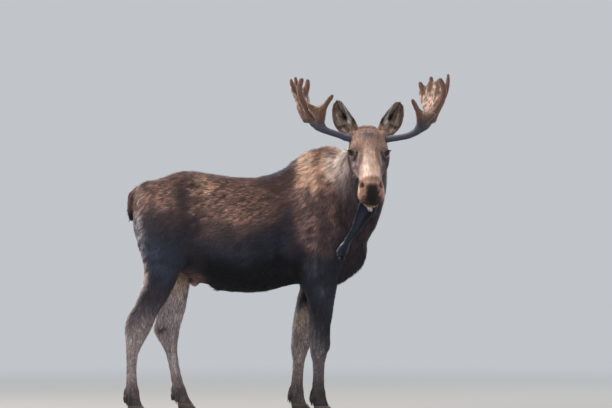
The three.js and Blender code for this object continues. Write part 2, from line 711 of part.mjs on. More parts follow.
// ---------------------------------------------------------------- build the flesh whole
const trunkRaw = solid(loft(trunkSections(), RING.trunk));
const neckRaw = solid(loft(neckSections(9), RING.neck));
const headRaw = solid(loft(headSections(), RING.head, false));
const legRaw = {
  fore_right: solid(loft(legSections(FORE_RIGHT, { y: -1, joint: 480 }), RING.leg, false)),
  fore_left: solid(loft(legSections(FORE_LEFT, { y: 1, joint: 480 }), RING.leg, false)),
  hind_right: solid(loft(legSections(HIND_RIGHT, { y: -1, joint: 590 }), RING.leg, false)),
  hind_left: solid(loft(legSections(HIND_LEFT, { y: 1, joint: 590 }), RING.leg, false)),
};
// brow and cheek bones over and behind the eye, the sheath, and the pads under the antlers
const ball = (p, r, sx = 1, sy = 1, sz = 1) =>
  solid(new THREE.SphereGeometry(r, 10, 6).scale(sx, sy, sz).translate(...p));
const sheath = ball([-346, 0, 884], 28, 1.15, 1.0, 1.35);
const pads = [
  ball(inHead(64, -92, 22).toArray(), 36),
  ball(inHead(64, 92, 22).toArray(), 36),
];
const trunkLow = join([trunkRaw, sheath]);
// The same shapes a hair larger: what is set on the body is cut back by them, which leaves the gap.
const around = {
  trunk: solid(loft(trunkSections(GAP), RING.trunk)),
  neck: solid(loft(neckSections(9, GAP), RING.neck)),
  head: join([
    solid(loft(headSections(GAP), RING.head, false)),
    ball(inHead(64, -92, 22).toArray(), 36 + GAP),
    ball(inHead(64, 92, 22).toArray(), 36 + GAP),
  ]),
};
let body = join([trunkLow, neckRaw, headRaw, ...pads, ...Object.values(legRaw)]);

const nodes = new Map();
const colour = {
  coat: [0x3d2f2b, 0.9],
  back: [0x6a4f43, 0.9],
  face: [0x7a5a4c, 0.85],
  leg: [0x6b605e, 0.9],
  velvet: [0x6e4f3e, 0.95],
  horn: [0x2b2624, 0.45],
  eye: [0x120b08, 0.08],
  bell: [0x25232a, 0.85],
};
function keep(name, s, look) {
  nodes.set(name, [s, look]);
}
// Takes the part of `body` inside `region` away as a node, leaving a cut of width GAP.
function part(name, region, wider, look) {
  keep(name, largest(body.intersect(region)), look);
  body = body.subtract(wider);
}
// Half the gap is left on either side of a plane.
function partBeyond(name, at, dir, look, deep = 900, wide = 1400, within = null) {
  const d = V3(dir).normalize();
  const step = (k) => V3(at).addScaledVector(d, k).toArray();
  let inner = slab(step(GAP / 2), dir, deep, wide),
    outer = slab(step(-GAP / 2), dir, deep + GAP, wide);
  if (within) {
    inner = inner.intersect(within);
    outer = outer.intersect(within);
  }
  part(name, inner, outer, look);
}

// Legs, from the ground up: cannon with its foot, then the lower leg, then (behind) the thigh.
// Each cut is a plane through `at` whose slope rises towards the head.
const legs = {
  fore_right: { side: -1, box: [200, 720], joint: 425, at: [440, 832], slope: 0.03 },
  fore_left: { side: 1, box: [180, 700], joint: 425, at: [400, 832], slope: 0.03 },
  hind_right: { side: -1, box: [-900, -420], joint: 560, at: [-470, 893], slope: 0.3, thigh: [-900, -352] },
  hind_left: { side: 1, box: [-900, -345], joint: 560, at: [-400, 868], slope: 0.2, thigh: [-900, -322] },
};
for (const [name, l] of Object.entries(legs)) {
  const box = ([x0, x1], z0, z1, inner) => {
    const [ya, yb] = l.side > 0 ? [inner, 420] : [-420, -inner];
    return block([x0, ya, z0], [x1, yb, z1]);
  };
  const leg = name.replace("_", "leg_");
  part(leg + "_cannon", box(l.box, -50, l.joint - GAP / 2, 4), box(l.box, -50, l.joint + GAP / 2, 4), "leg");
  partBeyond(leg + (l.thigh ? "_gaskin" : "_forearm"), [l.at[0], 0, l.at[1]], [l.slope, 0, -1], "leg", 900, 1400, box(l.box, -50, 1200, 40));
  if (l.thigh)
    partBeyond(leg + "_thigh", [-540, l.side * 96, 1040], [-0.14, l.side * 0.62, -0.55], "coat", 900, 1400, box(l.thigh, 700, 1310, 40));
}

// Head and neck
partBeyond("head", inHead(-2, 0, -60).toArray(), [0.06, -0.86, 0.42], "face", 900, 1400, block([500, -1300, 1200], [1100, -300, 2100]));
partBeyond("neck", [600, -40, 1480], [0.66, -0.42, 0.6], "coat", 900, 1800, block([420, -700, 1050], [1100, 400, 2100]));
keep("trunk", largest(body), "back");

// Jaw: the lower lip and mandible, parted along the mouth line.
{
  const [head, look] = nodes.get("head");
  const jawDir = headN.clone().negate().addScaledVector(headD, 0.1).normalize();
  const at = inHead(560, 0, -84);
  const within = (grow) => {
    const g = new THREE.BoxGeometry(360, 330 + grow, 240 + grow).translate(0, 0, 0);
    const m = new THREE.Matrix4().makeBasis(headL, headD, headN);
    g.applyMatrix4(m);
    const c = inHead(250 + 165 + 0, 0, -84 - 120);
    return solid(g.translate(c.x, c.y, c.z));
  };
  const wide = 1400;
  // the region ahead of the cheek, below the mouth line
  const front = slab(inHead(330, 0, 0).toArray(), headD.toArray(), 900, wide);
  const frontWide = slab(inHead(330 - GAP, 0, 0).toArray(), headD.toArray(), 900, wide);
  const below = slab(at.toArray(), jawDir.toArray(), 500, wide);
  const belowWide = slab(at.clone().addScaledVector(jawDir, -GAP).toArray(), jawDir.toArray(), 500 + GAP, wide);
  keep("jaw", head.intersect(front).intersect(below), "face");
  nodes.set("head", [head.subtract(frontWide.intersect(belowWide)), look]);
}

// Eyes: balls set in sockets of the head.
const eyes = {
  eye_right: inHead(EYE_S, -EYE_U, EYE_V),
  eye_left: inHead(EYE_S, EYE_U, EYE_V),
};
for (const [name, p] of Object.entries(eyes)) {
  const sphere = (r) => solid(new THREE.SphereGeometry(r, 10, 7).translate(p.x, p.y, p.z));
  keep(name, sphere(EYE_R), "eye");
  const [head, look] = nodes.get("head");
  nodes.set("head", [head.subtract(sphere(EYE_R + 0.9)), look]);
}

// Claws and dew claws, with the pastern cut back round them.
for (const [name, l] of Object.entries(legs)) {
  const rows = { fore_right: FORE_RIGHT, fore_left: FORE_LEFT, hind_right: HIND_RIGHT, hind_left: HIND_LEFT }[name];
  const at = stations(rows);
  const [front, rear, off] = at(96);
  const leg = name.replace("_", "leg_");
  const cx = (front + rear) / 2 + 25;
  const size = name.startsWith("fore") ? 1.04 : 0.98;
  for (const [claw, dir] of [["outer", 1], ["inner", -1]]) {
    const y = l.side * (off + dir * (CLAW.width * 0.36 + CLAW.cleft / 2) * size);
    const s = clawSolid(cx, y, l.side * dir, size);
    keep(leg + "_claw_" + claw, s, "horn");
    const [cannon, look] = nodes.get(leg + "_cannon");
    const hull = clawSolid(cx, y, l.side * dir, size * 1.012);
    const m = new THREE.Matrix4().makeTranslation(0, 0, GAP);
    nodes.set(leg + "_cannon", [cannon.subtract(hull.transform(m.elements)), look]);
  }
  const [, rearF, offF] = at(168);
  for (const [claw, dir] of [["outer", 1], ["inner", -1]]) {
    const s = dewSolid(rearF + 4, l.side * (offF + dir * 26), 132, l.side * dir);
    keep(leg + "_dewclaw_" + claw, s, "horn");
    const [cannon, look] = nodes.get(leg + "_cannon");
    const c = [rearF + 4, l.side * (offF + dir * 26), 132];
    const big = s.transform(
      new THREE.Matrix4().makeTranslation(...c).multiply(new THREE.Matrix4().makeScale(1.05, 1.06, 1.05)).multiply(new THREE.Matrix4().makeTranslation(-c[0], -c[1], -c[2])).elements,
    );
    nodes.set(leg + "_cannon", [cannon.subtract(big), look]);
  }
}

// Ears, tail, bell and antlers are cut back to the body they sit on.
const seat = (s, ...hosts) => largest(hosts.reduce((a, h) => a.subtract(around[h]), s));

keep("ear_right", seat(earSolid(EAR_RIGHT), "head", "neck"), "face");
keep("ear_left", seat(earSolid(EAR_LEFT), "head", "neck"), "face");
keep(
  "tail",
  seat(
    solid(loft(alongCurve(TAIL, 7, V3([-0.6, 0, 1]).normalize(), ([a, w]) => ({ a, b: a, w, n: 2, kt: 0, kb: 0 })), RING.tail, false)),
    "trunk",
  ),
  "coat",
);
keep(
  "bell",
  seat(
    solid(loft(alongCurve(BELL, 9, V3([0.35, -1, 0.2]).normalize(), ([w, a]) => ({ a, b: a, w, n: 2.1, kt: 0, kb: 0 })), 8, false)),
    "neck",
    "head",
  ),
  "bell",
);

// Antlers: the beam with its front tine, the palm with its tines, and the brow fork, parted where they divide.
for (const [side, a] of [["right", ANTLER_RIGHT], ["left", ANTLER_LEFT]]) {
  const beam = limbTube(a.beam, 8, 6, false).add(limbTube(a.front, 7, 9));
  const palm = join([palmPlate(a.palm, 10, 6), ...a.tines.map((t) => limbTube(t, 5, 4))]);
  const brow = join([palmPlate(a.web, 8, 5), ...a.fork.map((t) => limbTube(t, 6, 4))]);
  const fatter = limbTube(a.beam.map(([x, y, z, r]) => [x, y, z, r + GAP]), 8, 6, false).add(limbTube(a.front.map(([x, y, z, r]) => [x, y, z, r + GAP]), 7, 9));
  keep("antler_" + side + "_beam", seat(beam, "head"), "velvet");
  keep("antler_" + side + "_palm", largest(palm.subtract(fatter)), "velvet");
  keep("antler_" + side + "_brow", largest(brow.subtract(fatter)), "velvet");
}

// ---------------------------------------------------------------- the exported group
function meshOf(s) {
  const m = s.getMesh(),
    n = m.numProp;
  const v = new Float32Array(m.numVert * 3);
  for (let i = 0; i < m.numVert; i++) v.set(m.vertProperties.subarray(i * n, i * n + 3), i * 3);
  const g = new THREE.BufferGeometry();
  g.setAttribute("position", new THREE.BufferAttribute(v, 3));
  g.setIndex(new THREE.BufferAttribute(new Uint32Array(m.triVerts), 1));
  g.computeVertexNormals();
  return g;
}
const model = new THREE.Group();
for (const [name, [s, look]] of nodes) {
  const [hex, rough] = colour[look];
  const mesh = new THREE.Mesh(meshOf(s), new THREE.MeshStandardMaterial({ color: hex, roughness: rough, metalness: 0 }));
  mesh.name = name;
  model.add(mesh);
}
// The origin is on the floor under the middle of the whole figure.
const size = new THREE.Box3().setFromObject(model);
const middle = size.getCenter(new THREE.Vector3());
model.position.set(-middle.x, -middle.y, -size.min.z);
const root = new THREE.Group();
root.add(model);
export default root;
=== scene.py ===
import bpy, math, time
import numpy as np
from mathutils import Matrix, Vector


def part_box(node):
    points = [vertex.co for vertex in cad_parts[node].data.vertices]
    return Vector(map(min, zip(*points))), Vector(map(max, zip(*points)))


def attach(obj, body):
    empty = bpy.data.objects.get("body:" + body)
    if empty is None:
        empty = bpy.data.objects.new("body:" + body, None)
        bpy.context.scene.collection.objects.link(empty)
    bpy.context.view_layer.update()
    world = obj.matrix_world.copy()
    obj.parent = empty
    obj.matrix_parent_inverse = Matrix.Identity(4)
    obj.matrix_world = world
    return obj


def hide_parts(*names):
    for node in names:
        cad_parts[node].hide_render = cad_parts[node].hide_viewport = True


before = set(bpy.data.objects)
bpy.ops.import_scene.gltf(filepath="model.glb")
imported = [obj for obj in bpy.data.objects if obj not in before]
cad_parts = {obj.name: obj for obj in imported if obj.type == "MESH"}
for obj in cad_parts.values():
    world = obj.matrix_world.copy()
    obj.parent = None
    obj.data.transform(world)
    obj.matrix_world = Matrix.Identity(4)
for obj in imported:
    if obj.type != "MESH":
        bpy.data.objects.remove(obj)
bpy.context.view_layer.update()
T0 = time.time()


def say(*a):
    print("%6.1f s" % (time.time() - T0), *a, flush=True)


# ------------------------------------------------------------------ tables
# Trunk: x, top, bottom, height of the greatest width, half width, roundness, pinch of the top, pinch of the belly.
TRUNK = [
  [-748, 1420, 1244, 1330, 40, 2.0, 0.0, 0.0],
  [-736, 1478, 1186, 1320, 104, 2.0, 0.05, 0.0],
  [-710, 1512, 1138, 1300, 152, 2.1, 0.1, 0.0],
  [-650, 1543, 1064, 1270, 200, 2.2, 0.18, 0.1],
  [-585, 1557, 1008, 1250, 224, 2.3, 0.22, 0.15],
  [-520, 1576, 975, 1230, 234, 2.3, 0.26, 0.2],
  [-455, 1595, 945, 1210, 246, 2.3, 0.3, 0.2],
  [-390, 1603, 914, 1190, 250, 2.3, 0.3, 0.18],
  [-325, 1600, 882, 1170, 253, 2.3, 0.3, 0.15],
  [-260, 1591, 866, 1150, 264, 2.3, 0.3, 0.1],
  [-195, 1583, 834, 1130, 279, 2.3, 0.3, 0.08],
  [-130, 1575, 822, 1120, 292, 2.3, 0.32, 0.05],
  [-65, 1568, 817, 1115, 300, 2.3, 0.34, 0.05],
  [0, 1567, 815, 1115, 304, 2.3, 0.38, 0.05],
  [65, 1570, 818, 1120, 302, 2.3, 0.42, 0.08],
  [130, 1583, 826, 1125, 296, 2.3, 0.46, 0.12],
  [195, 1604, 842, 1130, 286, 2.3, 0.5, 0.2],
  [260, 1639, 858, 1135, 276, 2.2, 0.54, 0.26],
  [325, 1689, 868, 1140, 270, 2.2, 0.58, 0.3],
  [390, 1734, 868, 1145, 268, 2.2, 0.6, 0.34],
  [455, 1753, 862, 1150, 262, 2.2, 0.6, 0.36],
  [520, 1754, 858, 1145, 248, 2.2, 0.56, 0.36],
  [585, 1716, 872, 1140, 226, 2.2, 0.45, 0.34],
  [650, 1590, 912, 1140, 196, 2.2, 0.3, 0.3],
  [705, 1430, 958, 1140, 158, 2.1, 0.2, 0.25],
  [750, 1340, 1000, 1140, 116, 2.0, 0.1, 0.15],
  [776, 1240, 1060, 1140, 56, 2.0, 0.0, 0.0],
]
NECK = [
  [400, 0, 1320, 320, 330, 205, 2.2, 0.5, 0.3],
  [480, -12, 1385, 318, 350, 210, 2.2, 0.5, 0.3],
  [555, -40, 1440, 292, 372, 208, 2.2, 0.45, 0.3],
  [628, -92, 1490, 292, 372, 198, 2.2, 0.44, 0.3],
  [690, -165, 1540, 227, 352, 182, 2.2, 0.4, 0.28],
  [734, -245, 1592, 214, 318, 162, 2.2, 0.36, 0.26],
  [758, -325, 1652, 200, 278, 140, 2.2, 0.3, 0.26],
  [768, -395, 1700, 168, 220, 122, 2.1, 0.25, 0.25],
  [772, -440, 1722, 110, 150, 92, 2.1, 0.2, 0.2],
]
HEAD = [
  [-28, 30, -60, 46, 2.0, 0.0, 0.0, -10],
  [-12, 52, -104, 76, 2.1, 0.1, 0.1, -15],
  [20, 66, -130, 100, 2.2, 0.12, 0.15, -15],
  [60, 74, -152, 116, 2.3, 0.1, 0.22, -10],
  [110, 78, -172, 126, 2.4, 0.12, 0.3, -14],
  [160, 76, -186, 131, 2.4, 0.16, 0.36, -22],
  [205, 68, -190, 135, 2.3, 0.28, 0.36, -40],
  [250, 58, -182, 129, 2.3, 0.36, 0.34, -52],
  [300, 52, -166, 112, 2.3, 0.36, 0.3, -48],
  [350, 51, -148, 91, 2.3, 0.3, 0.28, -38],
  [400, 55, -132, 75, 2.4, 0.22, 0.26, -30],
  [450, 62, -124, 75, 2.4, 0.16, 0.26, -26],
  [500, 66, -122, 80, 2.4, 0.12, 0.26, -26],
  [545, 62, -124, 84, 2.4, 0.1, 0.26, -30],
  [580, 48, -119, 84, 2.3, 0.08, 0.26, -36],
  [608, 26, -112, 76, 2.2, 0.05, 0.24, -42],
  [628, -2, -99, 56, 2.1, 0.0, 0.15, -50],
  [638, -26, -88, 28, 2.0, 0.0, 0.0, -55],
]
FORE_RIGHT = [
  [1330, 560, 370, 150, 96, 2.2],
  [1157, 622, 330, 168, 106, 2.3],
  [1014, 610, 318, 172, 100, 2.3],
  [930, 590, 326, 170, 90, 2.3],
  [852, 579, 352, 168, 80, 2.3],
  [786, 567, 378, 166, 69, 2.3],
  [702, 555, 390, 165, 62, 2.3],
  [604, 539, 395, 165, 55, 2.3],
  [526, 534, 398, 165, 53, 2.4],
  [474, 531, 400, 165, 54, 2.4],
  [425, 516, 405, 165, 47, 2.4],
  [364, 501, 418, 165, 38, 2.3],
  [285, 496, 421, 165, 35, 2.3],
  [214, 497, 417, 165, 38, 2.3],
  [169, 505, 411, 165, 45, 2.3],
  [130, 511, 415, 165, 46, 2.3],
  [96, 522, 424, 165, 49, 2.3],
  [74, 530, 432, 165, 50, 2.3],
]
FORE_LEFT = [
  [1330, 545, 355, 150, 96, 2.2],
  [1157, 600, 320, 168, 106, 2.3],
  [1014, 575, 308, 172, 100, 2.3],
  [930, 545, 312, 170, 90, 2.3],
  [852, 516, 331, 168, 79, 2.3],
  [786, 490, 319, 166, 67, 2.3],
  [702, 463, 303, 165, 60, 2.3],
  [604, 432, 287, 165, 54, 2.3],
  [526, 415, 281, 165, 53, 2.4],
  [474, 405, 277, 165, 54, 2.4],
  [425, 390, 279, 165, 47, 2.4],
  [364, 371, 288, 165, 38, 2.3],
  [285, 361, 286, 165, 35, 2.3],
  [214, 358, 278, 165, 38, 2.3],
  [169, 363, 269, 165, 45, 2.3],
  [130, 367, 271, 165, 46, 2.3],
  [96, 376, 278, 165, 49, 2.3],
  [74, 384, 286, 165, 50, 2.3],
]
HIND_RIGHT = [
  [1400, -470, -690, 130, 84, 2.2],
  [1300, -385, -738, 142, 104, 2.3],
  [1190, -350, -723, 150, 116, 2.3],
  [1092, -372, -700, 155, 112, 2.3],
  [1014, -404, -679, 160, 102, 2.3],
  [949, -436, -674, 165, 90, 2.3],
  [884, -463, -680, 168, 78, 2.3],
  [819, -495, -700, 170, 66, 2.3],
  [767, -524, -722, 170, 58, 2.3],
  [715, -560, -750, 170, 51, 2.3],
  [670, -586, -776, 170, 47, 2.3],
  [624, -605, -793, 170, 46, 2.4],
  [572, -629, -797, 170, 45, 2.4],
  [520, -658, -793, 170, 42, 2.4],
  [468, -685, -789, 170, 38, 2.3],
  [410, -708, -786, 170, 35, 2.3],
  [312, -717, -785, 170, 33, 2.3],
  [228, -711, -787, 170, 36, 2.3],
  [176, -700, -794, 170, 43, 2.3],
  [130, -694, -787, 170, 45, 2.3],
  [96, -684, -777, 170, 48, 2.3],
  [74, -677, -770, 170, 49, 2.3],
]
HIND_LEFT = [
  [1400, -455, -675, 130, 84, 2.2],
  [1300, -370, -725, 142, 104, 2.3],
  [1190, -332, -712, 150, 116, 2.3],
  [1092, -338, -682, 155, 112, 2.3],
  [1014, -352, -652, 160, 102, 2.3],
  [949, -366, -626, 165, 90, 2.3],
  [871, -379, -602, 168, 78, 2.3],
  [819, -388, -598, 170, 66, 2.3],
  [767, -397, -602, 170, 58, 2.3],
  [715, -406, -608, 170, 51, 2.3],
  [670, -419, -612, 170, 47, 2.3],
  [624, -433, -618, 170, 46, 2.4],
  [572, -446, -621, 170, 45, 2.4],
  [520, -454, -598, 170, 42, 2.4],
  [468, -461, -566, 170, 38, 2.3],
  [410, -461, -540, 170, 35, 2.3],
  [312, -446, -516, 170, 33, 2.3],
  [228, -426, -501, 170, 36, 2.3],
  [176, -406, -498, 170, 43, 2.3],
  [130, -390, -482, 170, 45, 2.3],
  [96, -372, -464, 170, 48, 2.3],
  [74, -364, -456, 170, 49, 2.3],
]
FORM = [
  # shoulder blade and its crest
  [[430, -215, 1600], [560, -235, 1240], 70, 20, 1],
  # point of the shoulder
  [[600, -200, 1180], [600, -200, 1140], 70, 18, 1],
  # triceps
  [[400, -245, 1230], [360, -235, 1060], 70, 14, 1],
  # hollow behind the elbow and shoulder
  [[272, -280, 1330], [262, -270, 980], 42, -16, 1],
  # hollow between neck and shoulder
  [[590, -230, 1560], [680, -215, 1260], 45, -10, 1],
  # ribs swell
  [[60, -300, 1120], [-60, -300, 1100], 150, 8, 1],
  # flank hollow
  [[-290, -260, 1380], [-300, -265, 1220], 62, -18, 1],
  # point of the hip
  [[-392, -215, 1500], [-372, -220, 1470], 46, 14, 1],
  # hollow between hip and rump
  [[-520, -215, 1465], [-560, -215, 1440], 55, -8, 1],
  # thigh muscle
  [[-560, -240, 1310], [-590, -255, 1130], 105, 16, 1],
  # stifle fold
  [[-385, -245, 1060], [-420, -235, 1010], 55, 10, 1],
  # chest keel hollow between the fore legs
  [[640, -70, 900], [700, -60, 960], 40, 8, 1],
]
TAIL = [
  [-702, 0, 1494, 20, 26],
  [-736, 0, 1470, 24, 31],
  [-752, 0, 1434, 25, 31],
  [-758, 0, 1396, 25, 30],
  [-760, 0, 1356, 24, 27],
  [-759, 0, 1325, 18, 20],
  [-758, 0, 1306, 6, 7],
]
BELL = [
  [800, -470, 1525, 44, 24],
  [796, -480, 1458, 62, 24],
  [776, -476, 1388, 66, 22],
  [738, -462, 1312, 52, 20],
  [698, -444, 1237, 37, 19],
  [650, -427, 1166, 27, 18],
  [627, -416, 1124, 35, 18],
  [614, -410, 1095, 40, 15],
  [611, -407, 1072, 30, 11],
  [610, -406, 1055, 9, 6],
]
ANTLER_RIGHT = {
  "beam": [
    [710, -418, 1804, 27],
    [640, -426, 1818, 24.5],
    [582, -430, 1838, 22],
    [524, -430, 1857, 22],
    [473, -424, 1881, 27],
    [431, -412, 1918, 31],
  ],
  "front": [
    [431, -412, 1918, 29],
    [403, -422, 1970, 24],
    [377, -430, 2015, 22],
    [351, -432, 2060, 20.5],
    [337, -425, 2101, 19.5],
    [335, -412, 2143, 19],
    [345, -400, 2177, 18],
    [352, -393, 2199, 12.5],
  ],
  "palm": {
    "spread": [0.5, 0.86, 0.1],
    "path": [
      [396, -398, 1924, 50, 27],
      [364, -366, 1990, 68, 19],
      [351, -330, 2055, 82, 14],
      [338, -298, 2107, 90, 11],
      [332, -274, 2150, 78, 9],
    ],
  },
  "tines": [
    [[322, -345, 2080, 17], [297, -345, 2125, 15.5], [286, -338, 2164, 13.5], [281, -330, 2196, 9]],
    [[332, -310, 2113, 16], [316, -296, 2165, 14.5], [308, -284, 2210, 9.5]],
    [[361, -280, 2069, 20], [379, -246, 2121, 19.5], [386, -228, 2160, 18.5], [388, -216, 2196, 12]],
  ],
  "web": {
    "spread": [1, 0.1, 0],
    "path": [
      [467, -425, 1880, 28, 27],
      [469, -448, 1925, 27, 23],
      [460, -480, 1969, 38, 19],
      [444, -500, 2011, 50, 15],
    ],
  },
  "fork": [
    [[470, -465, 1944, 21], [486, -500, 1991, 20], [506, -532, 2032, 18], [530, -556, 2065, 16], [549, -571, 2089, 11]],
    [[441, -485, 1982, 18], [412, -496, 2011, 16.5], [388, -499, 2031, 11]],
  ],
}
ANTLER_LEFT = {
  "beam": [
    [845, -416, 1800, 26],
    [915, -424, 1811, 22.5],
    [979, -428, 1820, 20.5],
    [1037, -428, 1833, 21.5],
    [1088, -420, 1860, 25.5],
    [1146, -408, 1908, 31],
  ],
  "front": [
    [1146, -408, 1908, 29],
    [1188, -418, 1957, 24],
    [1223, -427, 2005, 22],
    [1247, -430, 2053, 20.5],
    [1259, -424, 2101, 20],
    [1257, -412, 2143, 19.5],
    [1243, -400, 2177, 18],
    [1233, -393, 2197, 12.5],
  ],
  "palm": {
    "spread": [-0.68, 0.73, 0.05],
    "path": [
      [1170, -398, 1922, 46, 27],
      [1182, -370, 1984, 58, 19],
      [1182, -336, 2042, 76, 14],
      [1179, -304, 2097, 94, 11],
      [1175, -280, 2142, 98, 9],
      [1173, -271, 2160, 88, 8],
    ],
  },
  "tines": [
    [[1217, -390, 2028, 18], [1256, -372, 2070, 17], [1278, -342, 2119, 15.5], [1289, -306, 2174, 14.5], [1293, -276, 2229, 9.5]],
    [[1138, -252, 2106, 19], [1122, -238, 2145, 18], [1112, -226, 2180, 12]],
    [[1181, -290, 2118, 18], [1183, -272, 2170, 17.5], [1184, -261, 2213, 12]],
    [[1222, -340, 2092, 17], [1233, -322, 2150, 16.5], [1237, -310, 2192, 11]],
  ],
  "web": {
    "spread": [1, -0.1, 0],
    "path": [
      [1114, -420, 1884, 30, 27],
      [1121, -444, 1919, 32, 23],
      [1134, -474, 1950, 44, 18],
      [1148, -492, 1968, 50, 14],
    ],
  },
  "fork": [
    [[1113, -450, 1919, 22], [1103, -486, 1960, 20], [1087, -520, 1998, 18], [1069, -546, 2032, 16], [1053, -564, 2061, 11]],
    [[1158, -470, 1944, 19], [1183, -484, 1962, 16], [1204, -488, 1971, 10.5]],
  ],
}
EAR_RIGHT = {"base": [682, -372, 1846], "tip": [572, -352, 2060], "open": [0.12, -1, 0.05], "bow": [-16, 0, -6] }
EAR_LEFT = {"base": [874, -366, 1848], "tip": [982, -346, 2051], "open": [-0.12, -1, 0.05], "bow": [13, 0, 2] }
EAR = {"breadth": 62.0, "wall": 9.0, "cupBase": 2.5, "cupTip": 0.9}
HEAD_PITCH, HEAD_YAW, HEAD_AT = 40, 2.5, [772, -350, 1851]
EYE_R, EYE_S, EYE_V, EYE_U = 19, 212, 8, 113

# ------------------------------------------------------------------ small mathematics
def unit(v):
    v = np.asarray(v, float)
    return v / np.maximum(np.linalg.norm(v, axis=-1, keepdims=True), 1e-12)


def smooth(a, b, x):
    t = np.clip((x - a) / (b - a), 0.0, 1.0)
    return t * t * (3 - 2 * t)


def smin(a, b, k):
    h = np.maximum(k - np.abs(a - b), 0.0) / k
    return np.minimum(a, b) - h * h * k * 0.25


def mix(a, b, t):
    return a + (b - a) * t


def _hash(i, j, k, seed):
    n = (i * 73856093) ^ (j * 19349663) ^ (k * 83492791) ^ (seed * 668265263)
    n = n & 0x7FFFFFFF
    n = (n ^ (n >> 13)) * 1274126177 & 0x7FFFFFFF
    n = (n ^ (n >> 16)) * 60493 & 0x7FFFFFFF
    return ((n >> 7) & 0xFFFF) / 65535.0


def noise(p, size, seed=1):
    """Smooth noise from 0 to 1 at points p, with bumps of about `size` (one number or three)."""
    q = p / np.asarray(size, float)
    f = np.floor(q)
    i = f.astype(np.int64)
    t = q - f
    t = t * t * (3 - 2 * t)
    out = 0.0
    for a in (0, 1):
        for b in (0, 1):
            for c in (0, 1):
                w = (t[:, 0] if a else 1 - t[:, 0]) * (t[:, 1] if b else 1 - t[:, 1]) * (t[:, 2] if c else 1 - t[:, 2])
                out = out + w * _hash(i[:, 0] + a, i[:, 1] + b, i[:, 2] + c, seed)
    return out


def dense(rows, count=700):
    """Shape-preserving cubic through the rows, keyed by their first value, sampled finely."""
    r = np.array(rows, float)
    if r[-1, 0] < r[0, 0]:
        r = r[::-1]
    t, y = r[:, 0], r[:, 1:]
    h = np.diff(t)
    d = np.diff(y, axis=0) / h[:, None]
    m = np.zeros_like(y)
    m[0], m[-1] = d[0], d[-1]
    for i in range(1, len(t) - 1):
        a, b = d[i - 1], d[i]
        w1, w2 = 2 * h[i] + h[i - 1], h[i] + 2 * h[i - 1]
        same = a * b > 0
        m[i] = np.where(same, (w1 + w2) / (w1 / np.where(same, a, 1) + w2 / np.where(same, b, 1)), 0)
    x = np.linspace(t[0], t[-1], count)
    i = np.clip(np.searchsorted(t, x, side="right") - 1, 0, len(t) - 2)
    q = ((x - t[i]) / h[i])[:, None]
    hh = h[i][:, None]
    out = (1 + 2 * q) * (1 - q) ** 2 * y[i] + q * (1 - q) ** 2 * hh * m[i] + q * q * (3 - 2 * q) * y[i + 1] + q * q * (q - 1) * hh * m[i + 1]
    return x, out


def at(table, t):
    x, cols = table
    k = (t - x[0]) / (x[-1] - x[0]) * (len(x) - 1)
    k = np.clip(k, 0, len(x) - 1.001)
    i = k.astype(np.int64)
    f = (k - i)[:, None]
    return (cols[i] * (1 - f) + cols[i + 1] * f).T


def section(u, v, w, a, b, n, kt, kb):
    """How far a point of a section's plane is outside its outline, measured from the section's middle."""
    h = np.where(v > 0, a, b)
    k = np.where(v > 0, kt, kb)
    q = np.minimum(np.abs(v) / h, 1.0)
    W = w * (1 - k * q * q * (3 - 2 * q))
    g = (np.maximum(np.abs(u) / W, 1e-7) ** n + np.maximum(np.abs(v) / h, 1e-7) ** n) ** (1 / n)
    r = np.hypot(u, v) + 1e-7
    return r * (1 - 1 / g)


# ------------------------------------------------------------------ the head's own frame
_p, _y = math.radians(HEAD_PITCH), math.radians(HEAD_YAW)
HD = np.array([math.sin(_y) * math.cos(_p), -math.cos(_y) * math.cos(_p), -math.sin(_p)])
HL = np.array([math.cos(_y), math.sin(_y), 0.0])
HN = np.cross(HD, HL)
HO = np.array(HEAD_AT, float)


def in_head(s, u, v):
    return HO + HD * s + HL * u + HN * v


def head_local(P):
    q = P - HO
    return q @ HD, q @ HL, q @ HN


# The body is worked out in millimetres in the frame it is drawn in. The right eye's place in both gives the
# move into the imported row's frame.
_lo, _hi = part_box("eye_right")
SHIFT = (np.array(_lo) + np.array(_hi)) * 500.0 - in_head(EYE_S, -EYE_U, EYE_V)
SHIFT[2] = 0.0
say("shift", SHIFT)


def to_row(p):
    return ((p + SHIFT) / 1000.0).astype(np.float32)


# ------------------------------------------------------------------ lofts as fields
class Straight:
    """A loft through parallel sections square to D."""

    def __init__(self, rows, read, o, D, U, V, round=10.0):
        self.round = round
        self.table = dense([[r[0], *read(r)] for r in rows])
        self.o, self.D, self.U, self.V = (np.asarray(x, float) for x in (o, D, U, V))
        self.t0, self.t1 = self.table[0][0], self.table[0][-1]

    def local(self, P):
        q = P - self.o
        t, u, v = q @ self.D, q @ self.U, q @ self.V
        tc = np.clip(t, self.t0, self.t1)
        cols = at(self.table, tc)
        return t, tc, u - cols[0], v - cols[1], cols[2:]

    def value(self, P):
        t, tc, u, v, c = self.local(P)
        F = section(u, v, *c)
        over = np.abs(t - tc)
        ends = -np.minimum(t - self.t0, self.t1 - t)
        F = np.where(over > 0, np.hypot(np.maximum(F, 0), over) + self.round / 4, -smin(-F, -ends, self.round))
        return F, tc, np.arctan2(u / c[0], v / np.where(v > 0, c[1], c[2]))


